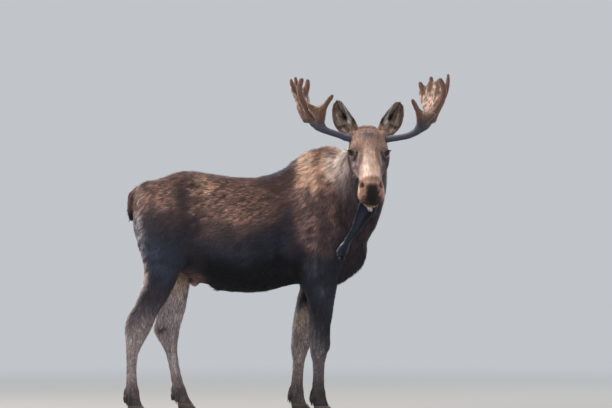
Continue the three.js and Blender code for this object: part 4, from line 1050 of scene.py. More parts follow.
def trunk_colour(P, N, low, mid, broad, grizzle, tips):
    x, y, z = P.T
    c = at(trunk.table, np.clip(x, -748, 776))
    bottom, top = c[1] - c[4], c[1] + c[3]
    hf = (z - bottom) / np.maximum(top - bottom, 50)
    wz = z + 85 * low + 45 * mid + 34 * broad
    wx = x + 60 * low + 40 * mid
    # below: black belly, darkest underneath partly as painted shade; along the flank a slate-blue band of painted sky
    # reflection, the haunch tinted slate-blue by the same, and a paler painted sheen on the thigh
    T = np.tile(BLACK, (len(x), 1))
    T = over(T, SLATE, band(wz, 1075, 1240, 60) * band(wx, -300, 300, 60) * 0.9)
    T = over(T, SLATE, smooth(-330, -430, wx) * smooth(860, 1000, wz) * 0.85)
    T = over(T, SLATE_SHEEN, field(wx, wz, -600, 1110, 90, 190) * np.clip(0.55 + broad + mid, 0, 1) * 0.75)
    T = over(T, PITCH, smooth(1085, 980, wz) * band(wx, -300, 330, 60))
    T = over(T, tone(52, 38, 34), smooth(0.045, 0.0, hf) * band(x, -250, 300, 60) * 0.7)
    # painted shade along the fold of the flank, a painted bluish highlight on the thigh above it, and painted shade in
    # the groove behind the elbow
    q = np.clip(((x + 321) * -166 + (z - 1069) * -202) / (166.0**2 + 202**2), -0.1, 1)
    fold = np.hypot(x + 321 + 166 * q, z - 1069 + 202 * q) + 20 * mid
    T = over(T, tone(54, 60, 76), field(wx, wz, -530, 1050, 110, 150) * np.clip(0.7 + broad, 0, 1) * 0.5)
    T = over(T, tone(12, 11, 15), np.exp(-((fold / 20) ** 2)) * 0.9)
    T = over(T, tone(88, 69, 68), field(x, z, -300, 905, 70, 42) * 0.75)
    T = over(T, tone(10, 10, 14), np.exp(-(((x - 312) / 15) ** 2)) * band(z, 850, 1060, 40) * 0.85)
    # above: brown and grizzled
    zb = np.interp(x, [-760, -650, -527, -400, -340, -277, 0, 138, 250, 330], [1398, 1345, 1320, 1325, 1290, 1225, 1222, 1262, 1300, 1180])
    brown = smooth(zb - 60, zb + 115, wz)
    T = over(T, tone(56, 43, 46), smooth(zb - 175, zb - 15, wz) * 0.8)
    T = over(T, BROWN, brown)
    T = over(T, RUST, field(wx, wz, -90, 1400, 300, 140) * brown * 0.5)
    T = over(T, TAN, field(wx, wz, -262, 1490, 75, 75) * brown * 0.55)
    T = over(T, RUST, field(wx, wz, -610, 1420, 150, 90) * brown * 0.7)
    T = over(T, tone(158, 128, 118), field(wx, wz, -715, 1430, 60, 110) * 0.6)
    T = over(T, UMBER, field(wx, wz, 215, 1540, 150, 120) * 0.85)
    T = over(T, tone(76, 55, 53), field(wx, wz, 225, 1370, 100, 120) * 0.8)
    T = over(T, tone(86, 72, 76), smooth(0.93, 1.0, hf) * band(x, -640, 150, 90) * 0.55)
    T = over(T, tone(70, 63, 74), smooth(0.90, 0.975, hf + 0.05 * broad) * band(x, 130, 430, 50) * 0.9)
    # painted shade in the fold in front of the haunch
    T = over(T, tone(42, 34, 38), np.exp(-(((wx + 345 + 0.2 * (z - 1200)) / 46) ** 2)) * smooth(1590, 1450, z) * smooth(900, 1000, z) * 0.75)
    # shoulder: warm, in upright streaks
    up = noise(np.stack([x / 26, y / 60, z / 150], 1), 1.0, 14) - 0.5
    column = band(wx, 340, 560, 40) * smooth(985, 1130, wz)
    T = over(T, tone(86, 65, 62), column * np.clip(0.85 + 0.9 * up, 0, 1))
    T = over(T, tone(106, 84, 84), field(wx, wz, 405, 1150, 60, 170) * np.clip(0.7 + 1.2 * up, 0, 1) * 0.75)
    T = over(T, tone(42, 34, 41), np.exp(-(((x - 302 + 26 * mid + 0.12 * (z - 1200)) / 32) ** 2)) * band(z, 1050, 1390, 60) * 0.85)
    T = over(T, tone(52, 41, 45), field(wx, wz, 520, 1240, 50, 160) * 0.6)
    # painted bluish highlight on the muscle above the elbow
    T = over(T, tone(66, 68, 82), field(wx, wz, 425, 985, 60, 75) * np.clip(0.7 + 1.2 * up, 0, 1) * 0.7)
    T = over(T, tone(40, 34, 40), smooth(560, 640, wx) * smooth(1500, 1380, z))
    # hump: golden, with a browner stripe, paler towards the neck
    gold = smooth(1425, 1560, wz + 40 * up - 0.12 * (x - 480)) * band(wx, 345, 700, 40)
    T = over(T, tone(134, 103, 88) * np.clip(1 + 0.55 * up, 0.6, 1.4)[:, None], gold)
    T = over(T, tone(200, 163, 140), gold * np.exp(-(((x - 405 + 14 * mid) / 56) ** 2)) * smooth(1515, 1640, wz) * 0.9)
    T = over(T, tone(188, 163, 152), gold * smooth(500, 550, x + 14 * mid) * smooth(1520, 1600, wz) * 0.85)
    T = over(T, tone(118, 86, 70), gold * np.exp(-(((x - 488 + 10 * mid) / 19) ** 2)) * 0.8)
    T = over(T, tone(88, 74, 74), smooth(0.955, 1.0, hf) * band(x, 330, 480, 40) * 0.75)
    T = over(T, tone(112, 88, 80), smooth(0.95, 0.99, hf + 0.02 * broad) * band(x, 480, 610, 40) * 0.75)
    # rear of the haunch and the fringe below the tail: pale on the faces turned rearwards, partly hair colour and
    # partly a painted highlight from the light behind
    rear = smooth(-0.25, -0.8, N[:, 0]) * smooth(-600, -680, x)
    T = over(T, ASH, rear * smooth(1400, 1300, z) * 0.75)
    T = over(T, SAND, rear * smooth(1060, 960, z) * 0.8)
    # inside of the thigh and the groin
    groin = smooth(-0.1, -0.8, N[:, 2]) * band(x, -500, -290, 40) * smooth(1010, 940, z)
    T = over(T, tone(92, 66, 62), groin * 0.7)
    light = T @ np.array([0.3, 0.6, 0.1])
    g = smooth(44, 92, light) * (1 - 0.55 * gold)
    T = T * (1 + (0.30 + 0.74 * g)[:, None] * grizzle[:, None] + 0.34 * (broad * g)[:, None])
    T = over(T, T * 1.15 + tone(28, 24, 21), smooth(0.60, 0.80, tips) * (0.10 + 0.5 * g))
    return T


def markings_and_painted_light(P, N, W, EACH, CO):
    """The coat's colour, with painted light and shade in places, from where a place is on the body, its outward
    direction and the parts it belongs to.
    """
    n = len(P)
    x, y, z = P.T
    low = noise(P, 130, 3) - 0.5
    mid = noise(P, 42, 5) - 0.5
    broad, grizzle, tips = grain_of(P)
    T = trunk_colour(P, N, low, mid, broad, grizzle, tips)
    colour = {"trunk": T}
    # neck: pale behind the ear and cheek, in falling streaks, dark below
    hang = noise(np.stack([x / 17, y / 40, z / 105], 1), 1.0, 17) - 0.5
    K = np.tile(tone(42, 36, 44), (n, 1))
    K = over(K, tone(74, 58, 58), smooth(1330, 1470, z + 120 * hang))
    K = over(K, tone(112, 98, 98), smooth(1430, 1560, z + 190 * hang) * 0.8)
    K = over(K, tone(176, 156, 148), smooth(1530, 1660, z + 170 * hang) * np.clip(0.95 + 1.0 * hang, 0, 1) * 0.85)
    # painted shadow on the neck beside and below the head
    K = over(K, tone(66, 53, 55), smooth(622, 660, x + 30 * hang) * smooth(1660, 1580, z) * 0.85)
    K = over(K, tone(58, 47, 52), smooth(720, 790, x) * 0.9)
    # painted bluish rim highlight on the front of the neck
    K = over(K, tone(70, 66, 78), smooth(0.55, 0.9, N[:, 0]) * 0.4)
    K = over(K, tone(58, 48, 52), smooth(1450, 1330, z + 90 * hang))
    K = K * (1 + 0.62 * hang[:, None] + 0.40 * grizzle[:, None])
    colour["neck"] = over(K, T, smooth(625, 560, x + 40 * mid))
    colour["head"] = face_colour(P, N)
    for name in ("fore_r", "fore_l", "hind_r", "hind_l"):
        side = -1 if name.endswith("r") else 1
        inner = smooth(0.3, -0.4, N[:, 1] * side)
        rear = smooth(-0.45, -0.92, N[:, 0])
        front = smooth(0.3, 0.9, N[:, 0])
        down = noise(np.stack([x / 14, y / 14, z / 90], 1), 1.0, 19) - 0.5
        wz = z + 70 * low + 40 * mid
        if name.startswith("hind"):
            L = np.tile(tone(84, 73, 78), (n, 1))
            L = over(L, tone(50, 45, 52), smooth(640, 800, wz) * smooth(-0.2, 0.4, N[:, 1] * side) * 0.8)
            L = over(L, tone(44, 38, 42), blob(P, (-775, side * 190, 610), (60, 80, 90)) * 0.7 + blob(P, (-590, side * 190, 600), (60, 80, 90)) * 0.4)
            L = over(L, tone(144, 130, 126), smooth(740, 560, wz + 130 * down) * 0.85)
            L = over(L, tone(66, 55, 54), smooth(320, 130, z) * 0.75)
            I = np.tile(tone(138, 125, 124), (n, 1))
            I = over(I, tone(142, 129, 129), smooth(600, 720, wz) * 0.9)
            I = over(I, tone(76, 64, 62), smooth(340, 140, z) * 0.8)
            I = over(I, tone(176, 153, 132), smooth(770, 950, wz + 150 * down) * 0.85)
            I = over(I, tone(40, 33, 34), np.clip(blob(P, (-548, 150, 590), (44, 60, 22)) + blob(P, (-572, 150, 572), (30, 60, 26)), 0, 1) * 0.7)
            L = over(L, I, inner)
            # pale on the rear faces: partly hair colour, partly a painted highlight from the light behind
            L = over(L, tone(206, 188, 184), rear * smooth(430, 560, z) * 0.75)
        else:
            L = np.tile(tone(32, 30, 38), (n, 1))
            L = over(L, tone(106, 96, 97), smooth(740, 480, wz + 130 * smooth(-0.7, 0.7, N[:, 0]) + 190 * down) * 0.85)
            L = over(L, tone(58, 50, 52), smooth(360, 180, wz) * 0.85)
            # painted bluish highlight on the knee and on the upper leg's front faces
            L = over(L, tone(70, 75, 92), blob(P, (478, -230, 856), (60, 90, 60)) * 0.9 + front * smooth(560, 760, z) * 0.35)
            I = np.tile(tone(138, 124, 120), (n, 1))
            I = over(I, tone(84, 73, 72), smooth(380, 200, wz) * 0.85)
            I = over(I, tone(156, 137, 122), band(wz, 610, 705, 40))
            I = over(I, tone(34, 30, 38), smooth(690, 780, wz))
            L = over(L, I, inner * (0.95 if side > 0 else 0.7))
            L = over(L, tone(196, 184, 186), rear * (0.75 if side > 0 else 0.25) * smooth(200, 420, z))
        L = L * (1 + 0.26 * down[:, None] + 0.24 * grizzle[:, None])
        top = T if side < 0 else over(T, tone(34, 30, 38), np.full(n, 0.4) * smooth(-0.1, -0.6, N[:, 1]))
        if name.startswith("hind"):
            top = over(top, tone(180, 154, 130), inner * 0.85 * smooth(1120, 990, z))
        colour[name] = over(L, top, smooth(800, 960, wz))
    for name in ("ear_r", "ear_l"):
        i = ID[name]
        tt, a = CO[:, i, 0], CO[:, i, 1]
        inside = a > 5
        cup = 2.5 - 1.6 * np.clip(tt * 1.25, 0, 1) ** 0.7
        al = np.where(inside, a - 10, a) * 3.2 / cup * (1 if name == "ear_r" else -1)  # to 1 at the edge by the crown
        hair = noise(np.stack([al * 9, tt * 5, 0 * al], 1), 1.0, 27) - 0.5
        E = np.tile(tone(116, 95, 82), (n, 1))
        E = over(E, tone(72, 58, 52), smooth(0.5, 1.0, tt))
        rim, tip = np.abs(al), tt
        al, tt = al - 0.17, tt - 0.035
        I = np.tile(tone(116, 98, 88), (n, 1))
        I = over(I, tone(182, 160, 142), (field(al, tt, -0.32, 0.60, 0.30, 0.15) + field(al, tt, -0.50, 0.40, 0.24, 0.10) * 0.8) * np.clip(0.8 + 1.6 * hair, 0, 1))
        I = over(I, tone(156, 134, 116), field(al, tt, -0.45, 0.15, 0.34, 0.09))
        I = over(I, tone(62, 50, 48), np.exp(-(((al - 0.05 - 0.5 * np.maximum(0.75 - tt, 0)) / 0.10) ** 2)) * band(tt, 0.48, 0.88, 0.06) * 0.9)
        ragged = 0.05 * (noise(np.stack([al * 14, tt * 9, 0 * al], 1), 1.0, 29) - 0.5)
        # painted shade in the hollow of the ear
        I = over(I, tone(52, 42, 40), field(al + ragged, tt, 0.06, 0.52, 0.24, 0.17) * 0.85)
        path = ((0.70, 0.78), (0.62, 0.60), (0.52, 0.42), (0.22, 0.31))
        off = np.full(n, 1e9)
        for (a0, b0), (a1, b1) in zip(path[:-1], path[1:]):
            q = np.clip(((al - a0) * (a1 - a0) + (tt - b0) * (b1 - b0)) / ((a1 - a0) ** 2 + (b1 - b0) ** 2), 0, 1)
            off = np.minimum(off, np.hypot(al - a0 - q * (a1 - a0), tt - b0 - q * (b1 - b0)))
        I = over(I, tone(232, 225, 216), smooth(0.135, 0.045, off + ragged) * smooth(0.86, 0.66, tt) * 0.95)
        # painted shade, darkest at the middle of the ear's hollow
        I = over(I, tone(14, 11, 12), np.clip(1.3 * field(al + ragged, tt, 0.14, 0.46, 0.20, 0.10), 0, 1))
        I = over(I, tone(50, 40, 38), np.exp(-(((tt - 0.275) / 0.028) ** 2)) * band(al, -0.85, -0.08, 0.08) * 0.85)
        al, tt = al + 0.17, tt + 0.035
        I = over(I, tone(96, 76, 70), smooth(0.90, 0.99, np.maximum(rim, tip)) * (0.75 - 0.6 * band(tt, 0.42, 0.66, 0.05) * (al > 0)))
        I = I * (1 + 0.7 * hair[:, None])
        E = np.where(inside[:, None], I, E)
        E = over(E, tone(216, 172, 134), np.exp(-(((tt - 0.115) / 0.075) ** 2)) * band(al, 0.22, 1.1, 0.10) * np.where(inside, 0.95, 0.3))
        E = over(E, tone(36, 27, 29), smooth(0.70, 0.84, al) * band(tt, 0.19, 0.36 - 0.25 * np.clip(0.95 - al, 0, 1), 0.03) * 0.95 * inside)
        E = over(E, tone(44, 33, 32), band(al, -0.05, 0.14, 0.07) * band(tt, -0.02, 0.12, 0.03) * 0.8 * inside)
        colour[name] = E
    colour["tail"] = over(np.tile(tone(34, 27, 30), (n, 1)), tone(104, 80, 72), smooth(0.74, 0.42, CO[:, ID["tail"], 0])) * (1 + 0.5 * grizzle[:, None])
    bt, ba = CO[:, ID["bell"], 0], CO[:, ID["bell"], 1]
    # the bell's dark hair, tinted blue as painted sky reflection
    B = np.tile(tone(33, 35, 46), (n, 1))
    strand = noise(np.stack([np.cos(ba) * 2.2, np.sin(ba) * 2.2, bt * 3.5], 1), 1.0, 33) - 0.5
    B = B * (1 + 1.1 * strand[:, None])
    # painted bluish highlight along both edges of the flap
    edge = np.exp(-(((np.abs(np.abs(ba) - np.pi / 2)) / 0.34) ** 2))
    B = over(B, tone(150, 156, 172), edge * np.clip(0.62 + 0.7 * strand, 0, 0.9) * smooth(0.06, 0.2, bt))
    B = over(B, tone(20, 19, 24), smooth(0.82, 0.95, bt) * (1 - edge) * 0.8)
    colour["bell"] = B
    out = sum(colour[k] * W[:, ID[k], None] for k in NAMES)
    # the sheath
    out = over(out, tone(156, 124, 118), blob(P, (-346, 0, 862), (44, 44, 42)) * 0.95)
    # tone wanders a little over the whole body
    return np.clip(out * (1 + 0.16 * low[:, None] + 0.14 * mid[:, None]), 4, 250)


def face_colour(P, N):
    s, u, v = head_local(P)
    au = np.abs(u)
    n = len(P)
    wob = noise(P, 30, 21) - 0.5
    thin = noise(np.stack([s / 44, u / 9, v / 9], 1), 1.0, 22) - 0.5
    up = N @ HN
    C = np.tile(tone(104, 82, 74), (n, 1))
    # forehead and crown
    C = over(C, tone(144, 113, 100), smooth(0.0, 0.7, up) * smooth(300, 190, s))
    C = over(C, tone(100, 82, 80), np.exp(-(((s - 128) / 40) ** 2 + ((u - 8) / (66 - 0.1 * (s - 128))) ** 2) ** 1.5) * smooth(0.2, 0.7, up) * 0.85)
    C = over(C, tone(76, 60, 60), np.exp(-(((s - 118 + 0.35 * au) / 12) ** 2 + (u / 34) ** 2)) * smooth(0.2, 0.7, up) * 0.7)
    # forehead wrinkles: painted highlight on a ridge, painted shade in the crease before it and beyond it
    C = over(C, tone(206, 176, 158), np.exp(-(((s - 60 + au * 0.12) / 7) ** 2)) * smooth(0.1, 0.6, up) * smooth(70, 40, au) * 0.6)
    C = over(C, tone(104, 76, 66), np.exp(-(((s - 44 + au * 0.12) / 9) ** 2)) * smooth(0.1, 0.6, up) * smooth(86, 60, au) * 0.7)
    C = over(C, tone(112, 84, 74), np.exp(-(((s - 74 + au * 0.12) / 7) ** 2)) * smooth(0.1, 0.6, up) * smooth(80, 50, au) * 0.5)
    C = over(C, tone(170, 147, 140), smooth(34, 8, s + 14 * thin) * smooth(80, 50, au) * smooth(0.0, 0.5, up + 0.3) * 0.7)
    C = over(C, tone(176, 138, 118), np.exp(-(((s - 168) / 26) ** 2 + ((au - 84) / 26) ** 2)) * 0.5)
    # bridge of the nose, bright; its half on the animal's right lighter still, as painted sunlight from that side, so
    # the animal's left reads a little browner
    half = np.interp(s, [190, 235, 290, 373, 490, 530], [30, 46, 52, 68, 74, 72])
    bridge = smooth(half + 13, half - 13, au + 6 * wob + 10 * thin) * smooth(190, 262, s + 26 * wob) * smooth(540, 492, s + 0.12 * au) * smooth(-0.3, 0.2, up)
    C = over(C, tone(208, 168, 147), bridge * 0.95)
    C = over(C, tone(236, 212, 199), bridge * band(u + 12 * thin, -44, -4, 9) * smooth(255, 330, s) * 0.62)
    C = over(C, tone(190, 160, 150), bridge * smooth(-42, -58, u) * 0.6)
    C = over(C, tone(180, 142, 124), bridge * np.exp(-(((u - 0.03 * (s - 300)) / 7) ** 2)) * smooth(300, 360, s) * 0.4)
    C = over(C, tone(178, 144, 130), bridge * smooth(325, 215, s) * 0.75)
    # side of the face: grey-brown and streaked, paler towards the mouth
    cheek = smooth(0.45, -0.05, up) * smooth(170, 260, s)
    C = over(C, tone(112, 90, 88), cheek * 0.85)
    C = over(C, tone(186, 158, 148), cheek * field(s, v, 350, -8, 90, 30) * np.clip(0.8 + 1.6 * thin, 0, 1) * 0.8)
    C = over(C, tone(190, 160, 148), cheek * np.exp(-(((s - 455) / 70) ** 2 + ((v + 2) / 34) ** 2)) * 0.8)
    jaw = smooth(-34 , -74, v + 14 * wob) * smooth(470, 330, s)
    C = over(C, tone(40, 34, 40), jaw * 0.9)
    C = over(C, tone(96, 90, 98), jaw * smooth(0.12, 0.3, thin) * 0.5)
    back = smooth(110, 20, s) * smooth(20, -60, v)
    C = over(C, tone(92, 78, 76), back * 0.8)
    # around the eyes: dark rims and corners, pale lower lids, and streaks that run down to the cheek
    front = smooth(-0.25, 0.15, -N[:, 1])
    for k, side in ((0, -1), (1, 1)):
        inn, w = -side * ((P - EYES[k]) @ HL), P[:, 2] - EYES[k][2]

        def streak(places, r):
            d = np.full(n, 1e9)
            for (a0, b0), (a1, b1) in zip(places[:-1], places[1:]):
                q = np.clip(((inn - a0) * (a1 - a0) + (w - b0) * (b1 - b0)) / ((a1 - a0) ** 2 + (b1 - b0) ** 2), 0, 1)
                d = np.minimum(d, np.hypot(inn - a0 - q * (a1 - a0), w - b0 - q * (b1 - b0)))
            return np.exp(-((d / r) ** 2)) * front

        C = over(C, tone(126, 98, 90), streak([(14, -60), (26, -140)], 26) * 0.55)
        C = over(C, tone(198, 184, 176), streak([(50, -6), (36, -80)], 6.5) * 0.75)
        C = over(C, tone(190, 172, 176), streak([(18, -62), (12, -88)], 8) * 0.7)
        C = over(C, tone(216, 188, 180), streak([(20, -116), (38, -154)], 7) * 0.7)
        C = over(C, tone(132, 99, 82), streak([(72, 16), (58, -66)], 9) * 0.8)
        C = over(C, tone(110, 97, 82), streak([(12, 24), (34, 20)], 13) * 0.75)
        C = over(C, tone(36, 27, 28), streak([(34, -1), (36, -8)], 8.5) * 0.85)
        C = over(C, tone(32, 26, 31), streak([(30, -24), (16, -54)], 8) * 0.9)
        C = over(C, tone(136, 106, 90), streak([(4, -32), (0, -42)], 7) * 0.6)
        C = over(C, tone(34, 27, 34), streak([(-26, -20), (-16, -90), (-4, -135), (34, -186)], 12) * 0.85)
        # painted shade over the animal's left side of the face, the side turned away from the light
        if side > 0:
            C = over(C, tone(46, 38, 46), streak([(6, -50), (-2, -110), (22, -155)], 28) * 0.85)
        x, y, z, r, lens = eye_local(P, k)
        near = smooth(44, 34, r) * smooth(-4, 4, z)
        C = over(C, tone(104, 84, 74), near * smooth(20, 14, lens) * smooth(-2, 4, y))
        C = over(C, tone(44, 33, 33), near * np.exp(-(((y - 18.0 + 0.014 * x * x) / 3.0) ** 2)) * 0.9)
        C = over(C, tone(222, 200, 192), near * band(lens, 5.5, 13, 2.0) * smooth(0, -5, y) * band(x, -15, 14, 5) * 0.9)
        C = over(C, tone(18, 13, 14), near * smooth(6.2, 3.6, lens + 1.6 * smooth(0, -5, y)))
        C = over(C, tone(18, 13, 14), near * np.exp(-(((x + 20) / 6) ** 2 + ((y + 2) / 4) ** 2)) * 0.9)
    # muzzle: brown, with a dark patch down the middle and pale lips
    m = smooth(500, 548, s + 10 * wob)
    C = over(C, tone(164, 124, 106), m * 0.95)
    C = over(C, tone(134, 97, 81), np.exp(-(((s - 534 + 0.02 * au) / 16) ** 2)) * smooth(0.0, 0.5, up) * 0.6)
    C = over(C, tone(170, 136, 120), m * band(s, 552, 584, 10) * smooth(0.0, 0.4, up) * smooth(48, 28, au) * 0.5)
    C = over(C, tone(206, 178, 160), m * smooth(64, 84, au) * smooth(-84, -40, v) * 0.7)
    pw = np.interp(v, [-84, -50, -28, 0, 40, 60], [70, 70, 66, 50, 40, 36])
    ux = np.abs(u - 5) + 9 * wob + 14 * thin
    patch = smooth(pw + 15, pw - 19, ux) * smooth(560, 590, s + 0.1 * au) * smooth(-96, -82, v)
    C = over(C, tone(82, 58, 50), patch * 0.85)
    # darkest core of the patch: dark nose pad, partly painted shadow under the upper lip
    core = smooth(np.interp(v, [-84, -50, -28, 0, 40, 60], [62, 62, 58, 40, 30, 26]) + 14, 10, ux)
    C = over(C, tone(24, 17, 17), patch * core * smooth(80, 30, v) * 0.95)
    lips = np.exp(-(((v + 87) / 11) ** 2)) * smooth(430, 500, s)
    C = over(C, tone(168, 134, 102), lips * 0.55)
    mouth = at(MOUTH, np.clip(s, MOUTH[0][0], MOUTH[0][-1]))[0]
    C = over(C, tone(48, 38, 36), np.exp(-(((v - mouth) / 4.0) ** 2)) * smooth(395, 420, s) * 0.85)
    C = over(C, tone(104, 86, 80), smooth(-98, -114, v) * smooth(430, 500, s) * 0.8)
    C = over(C, tone(232, 220, 212), smooth(-84, -96, v) * smooth(560, 600, s) * smooth(-20, -44, u) * 0.8)
    C = over(C, tone(222, 218, 222), blob(P, in_head(572, -15, -104), (13, 60, 34)) * 0.95)
    C = C * (1 + 0.32 * thin[:, None])
    # nostrils: a darker halo round each, and painted shade inside the holes
    for side in (-1, 1):
        for a, b, r0, r1 in NOSTRIL:
            h = capsule(P, in_head(a[0], side * a[1], a[2]), in_head(b[0], side * b[1], b[2]), r0, r1)
            C = over(C, tone(96, 70, 60), smooth(15, 2, h) * 0.45)
            C = over(C, tone(44, 30, 28), smooth(4, -5, h) * 0.9)
    return C


def linear(c):
    c = np.clip(c / 255.0, 0, 1)
    return np.where(c <= 0.04045, c / 12.92, ((c + 0.055) / 1.055) ** 2.4)


# ------------------------------------------------------------------ the lie of the coat
def flow_of(P, N, W, CO):
    n = len(P)
    x, y, z = P.T
    c = at(trunk.table, np.clip(x, -748, 776))
    hf = (z - c[1] + c[4]) / np.maximum(c[3] + c[4], 50)
    down = 0.06 + 0.5 * smooth(1.0, 0.62, hf) * smooth(0.02, 0.25, hf)
    down = down + 0.75 * smooth(250, 420, x) * smooth(0.02, 0.25, hf) * smooth(1.0, 0.8, hf)
    down = down + 3.0 * smooth(-590, -735, x) + 2.5 * smooth(600, 720, x)
    D = {"trunk": np.stack([-np.ones(n), 0 * x, -down], 1)}
    tt = CO[:, ID["neck"], 0] * (neck.count - 1)
    j = np.clip(tt.astype(int), 0, neck.count - 1)
    crest = smooth(0.9, 0.2, np.abs(CO[:, ID["neck"], 1]))
    D["neck"] = -neck.T[j] * (0.45 + 0.5 * crest)[:, None] + np.array([0, 0, -1.0]) * (0.95 - 0.6 * crest)[:, None]
    s, u, v = head_local(P)
    side = smooth(0.4, -0.4, N @ HN)
    fr = smooth(585, 620, s)
    D["head"] = -HD * (1 - 0.2 * side)[:, None] - HN * (0.55 * side * smooth(560, 420, s))[:, None] + HL * (np.sign(u) * (0.15 + 0.5 * fr))[:, None]
    low = smooth(-70, -95, v) * smooth(430, 520, s)
    D["head"] = over(D["head"], -HN + 0.2 * HD, low)
    for k in ("fore_r", "fore_l", "hind_r", "hind_l"):
        D[k] = np.tile([-0.12, 0.0, -1.0], (n, 1))
    for k in ("ear_r", "ear_l"):
        e = PARTS[k]
        a = CO[:, ID[k], 1]
        inside = a > 5
        al = np.where(inside, a - 10, a)
        D[k] = e.T + e.S * (np.sign(al) * np.where(inside, 0.75, 0.25))[:, None] + e.O * np.where(inside, 0.35, 0.0)[:, None]
    for k in ("tail", "bell"):
        j = np.clip((CO[:, ID[k], 0] * (PARTS[k].count - 1)).astype(int), 0, PARTS[k].count - 1)
        D[k] = PARTS[k].T[j] + 0.0
    out = sum(unit(D[k]) * W[:, ID[k], None] for k in NAMES)
    swirl = np.stack([noise(P, 75, 31 + i) - 0.5 for i in range(3)], 1)
    out = unit(out) + 0.34 * swirl
    out = out - N * (out * N).sum(1, keepdims=True)
    return unit(out)


SKIN_FLOW = flow_of(SKIN_V, SKIN_N, SKIN_W, SKIN_CO)
SKIN_COLOUR = linear(markings_and_painted_light(SKIN_V, SKIN_N, SKIN_W, SKIN_EACH, SKIN_CO) * 0.92)
say("markings_and_painted_light")


def paint(ob, colours, name="tint"):
    a = ob.data.color_attributes.new(name, "FLOAT_COLOR", "POINT")
    c = np.ones((len(colours), 4), np.float32)
    c[:, :3] = colours
    a.data.foreach_set("color", c.ravel())


# ------------------------------------------------------------------ materials
def new_material(name):
    m = bpy.data.materials.new(name)
    m.use_nodes = True
    nt = m.node_tree
    return m, nt, nt.nodes["Principled BSDF"]


def node(nt, kind, **values):
    nd = nt.nodes.new(kind)
    for k, v in values.items():
        if k in nd.inputs:
            nd.inputs[k].default_value = v
        else:
            setattr(nd, k, v)
    return nd


def hide_material(name, rough, sheen, bump=0.25, scale=260.0, contrast=0.35, specular=0.35, sheen_tint=(1, 0.95, 0.9, 1)):
    """Coat or skin: the painted colour, broken by fine grain, with a soft sheen."""
    m, nt, b = new_material(name)
    tint = node(nt, "ShaderNodeVertexColor", layer_name="tint")
    co = node(nt, "ShaderNodeTexCoord")
    grain = node(nt, "ShaderNodeTexNoise", Scale=scale, Detail=3.0, Roughness=0.6)
    nt.links.new(co.outputs["Object"], grain.inputs["Vector"])
    ramp = node(nt, "ShaderNodeMapRange")
    ramp.inputs["From Min"].default_value, ramp.inputs["From Max"].default_value = 0.25, 0.75
    ramp.inputs["To Min"].default_value, ramp.inputs["To Max"].default_value = 1 - contrast, 1 + contrast
    nt.links.new(grain.outputs["Fac"], ramp.inputs["Value"])
    mul = node(nt, "ShaderNodeVectorMath", operation="SCALE")
    nt.links.new(tint.outputs["Color"], mul.inputs[0])
    nt.links.new(ramp.outputs["Result"], mul.inputs["Scale"])
    nt.links.new(mul.outputs["Vector"], b.inputs["Base Color"])
    b.inputs["Roughness"].default_value = rough
    b.inputs["Specular IOR Level"].default_value = specular
    b.inputs["Sheen Weight"].default_value = sheen
    b.inputs["Sheen Roughness"].default_value = 0.45
    b.inputs["Sheen Tint"].default_value = sheen_tint
    if bump:
        bm = node(nt, "ShaderNodeBump", Strength=bump, Distance=0.002)
        nt.links.new(grain.outputs["Fac"], bm.inputs["Height"])
        nt.links.new(bm.outputs["Normal"], b.inputs["Normal"])
    return m


COAT = hide_material("coat_hair", 0.60, 0.06, bump=0.0, scale=140.0, contrast=0.16, specular=0.24)
HIDE = hide_material("hide", 0.75, 0.04, bump=0.5, scale=240.0, contrast=0.2, specular=0.22)

FLESH = [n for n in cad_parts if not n.startswith(("eye_", "antler_")) and "claw" not in n]
skin = mesh_of("skin", to_row(SKIN_V), SKIN_Q)
paint(skin, SKIN_COLOUR)
skin.data.materials.append(HIDE)
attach(skin, "root")
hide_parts(*FLESH)


# ------------------------------------------------------------------ the coat: closed tufts set on the skin
rng = np.random.default_rng(20240611)
TRI = np.concatenate([SKIN_Q[:, [0, 1, 2]], SKIN_Q[:, [0, 2, 3]]])
_a, _b, _c = (SKIN_V[TRI[:, k]] for k in range(3))
TRI_AREA = np.linalg.norm(np.cross(_b - _a, _c - _a), axis=1) / 2
TRI_AT = (_a + _b + _c) / 3
MAIN = SKIN_W.argmax(1)
TRI_PART = MAIN[TRI[:, 0]]


def roots(chosen, weight, count):
    """count places on the chosen triangles, as many on each as its area times its weight asks."""
    idx = np.nonzero(chosen)[0]
    w = TRI_AREA[idx] * weight[idx]
    cum = np.cumsum(w)
    r = (np.arange(count) + rng.random(count)) / count * cum[-1]
    f = idx[np.clip(np.searchsorted(cum, r), 0, len(idx) - 1)]
    a = rng.random(count)
    b = rng.random(count)
    flip = a + b > 1
    a[flip], b[flip] = 1 - a[flip], 1 - b[flip]
    bary = np.stack([1 - a - b, a, b], 1)
    V = TRI[f]

    def blendv(arr):
        return sum(arr[V[:, k]] * bary[:, k].reshape((-1,) + (1,) * (arr.ndim - 1)) for k in range(3))

    out = {
        "P": blendv(SKIN_V),
        "N": unit(blendv(SKIN_N)),
        "F": blendv(SKIN_FLOW),
        "W": blendv(SKIN_W),
        "D": blendv(SKIN_D),
        "EACH": blendv(SKIN_EACH),
        "CO": SKIN_CO[V[:, 0]],
        "part": TRI_PART[f],
    }
    out["F"] = unit(out["F"] - out["N"] * (out["F"] * out["N"]).sum(1, keepdims=True))
    return out


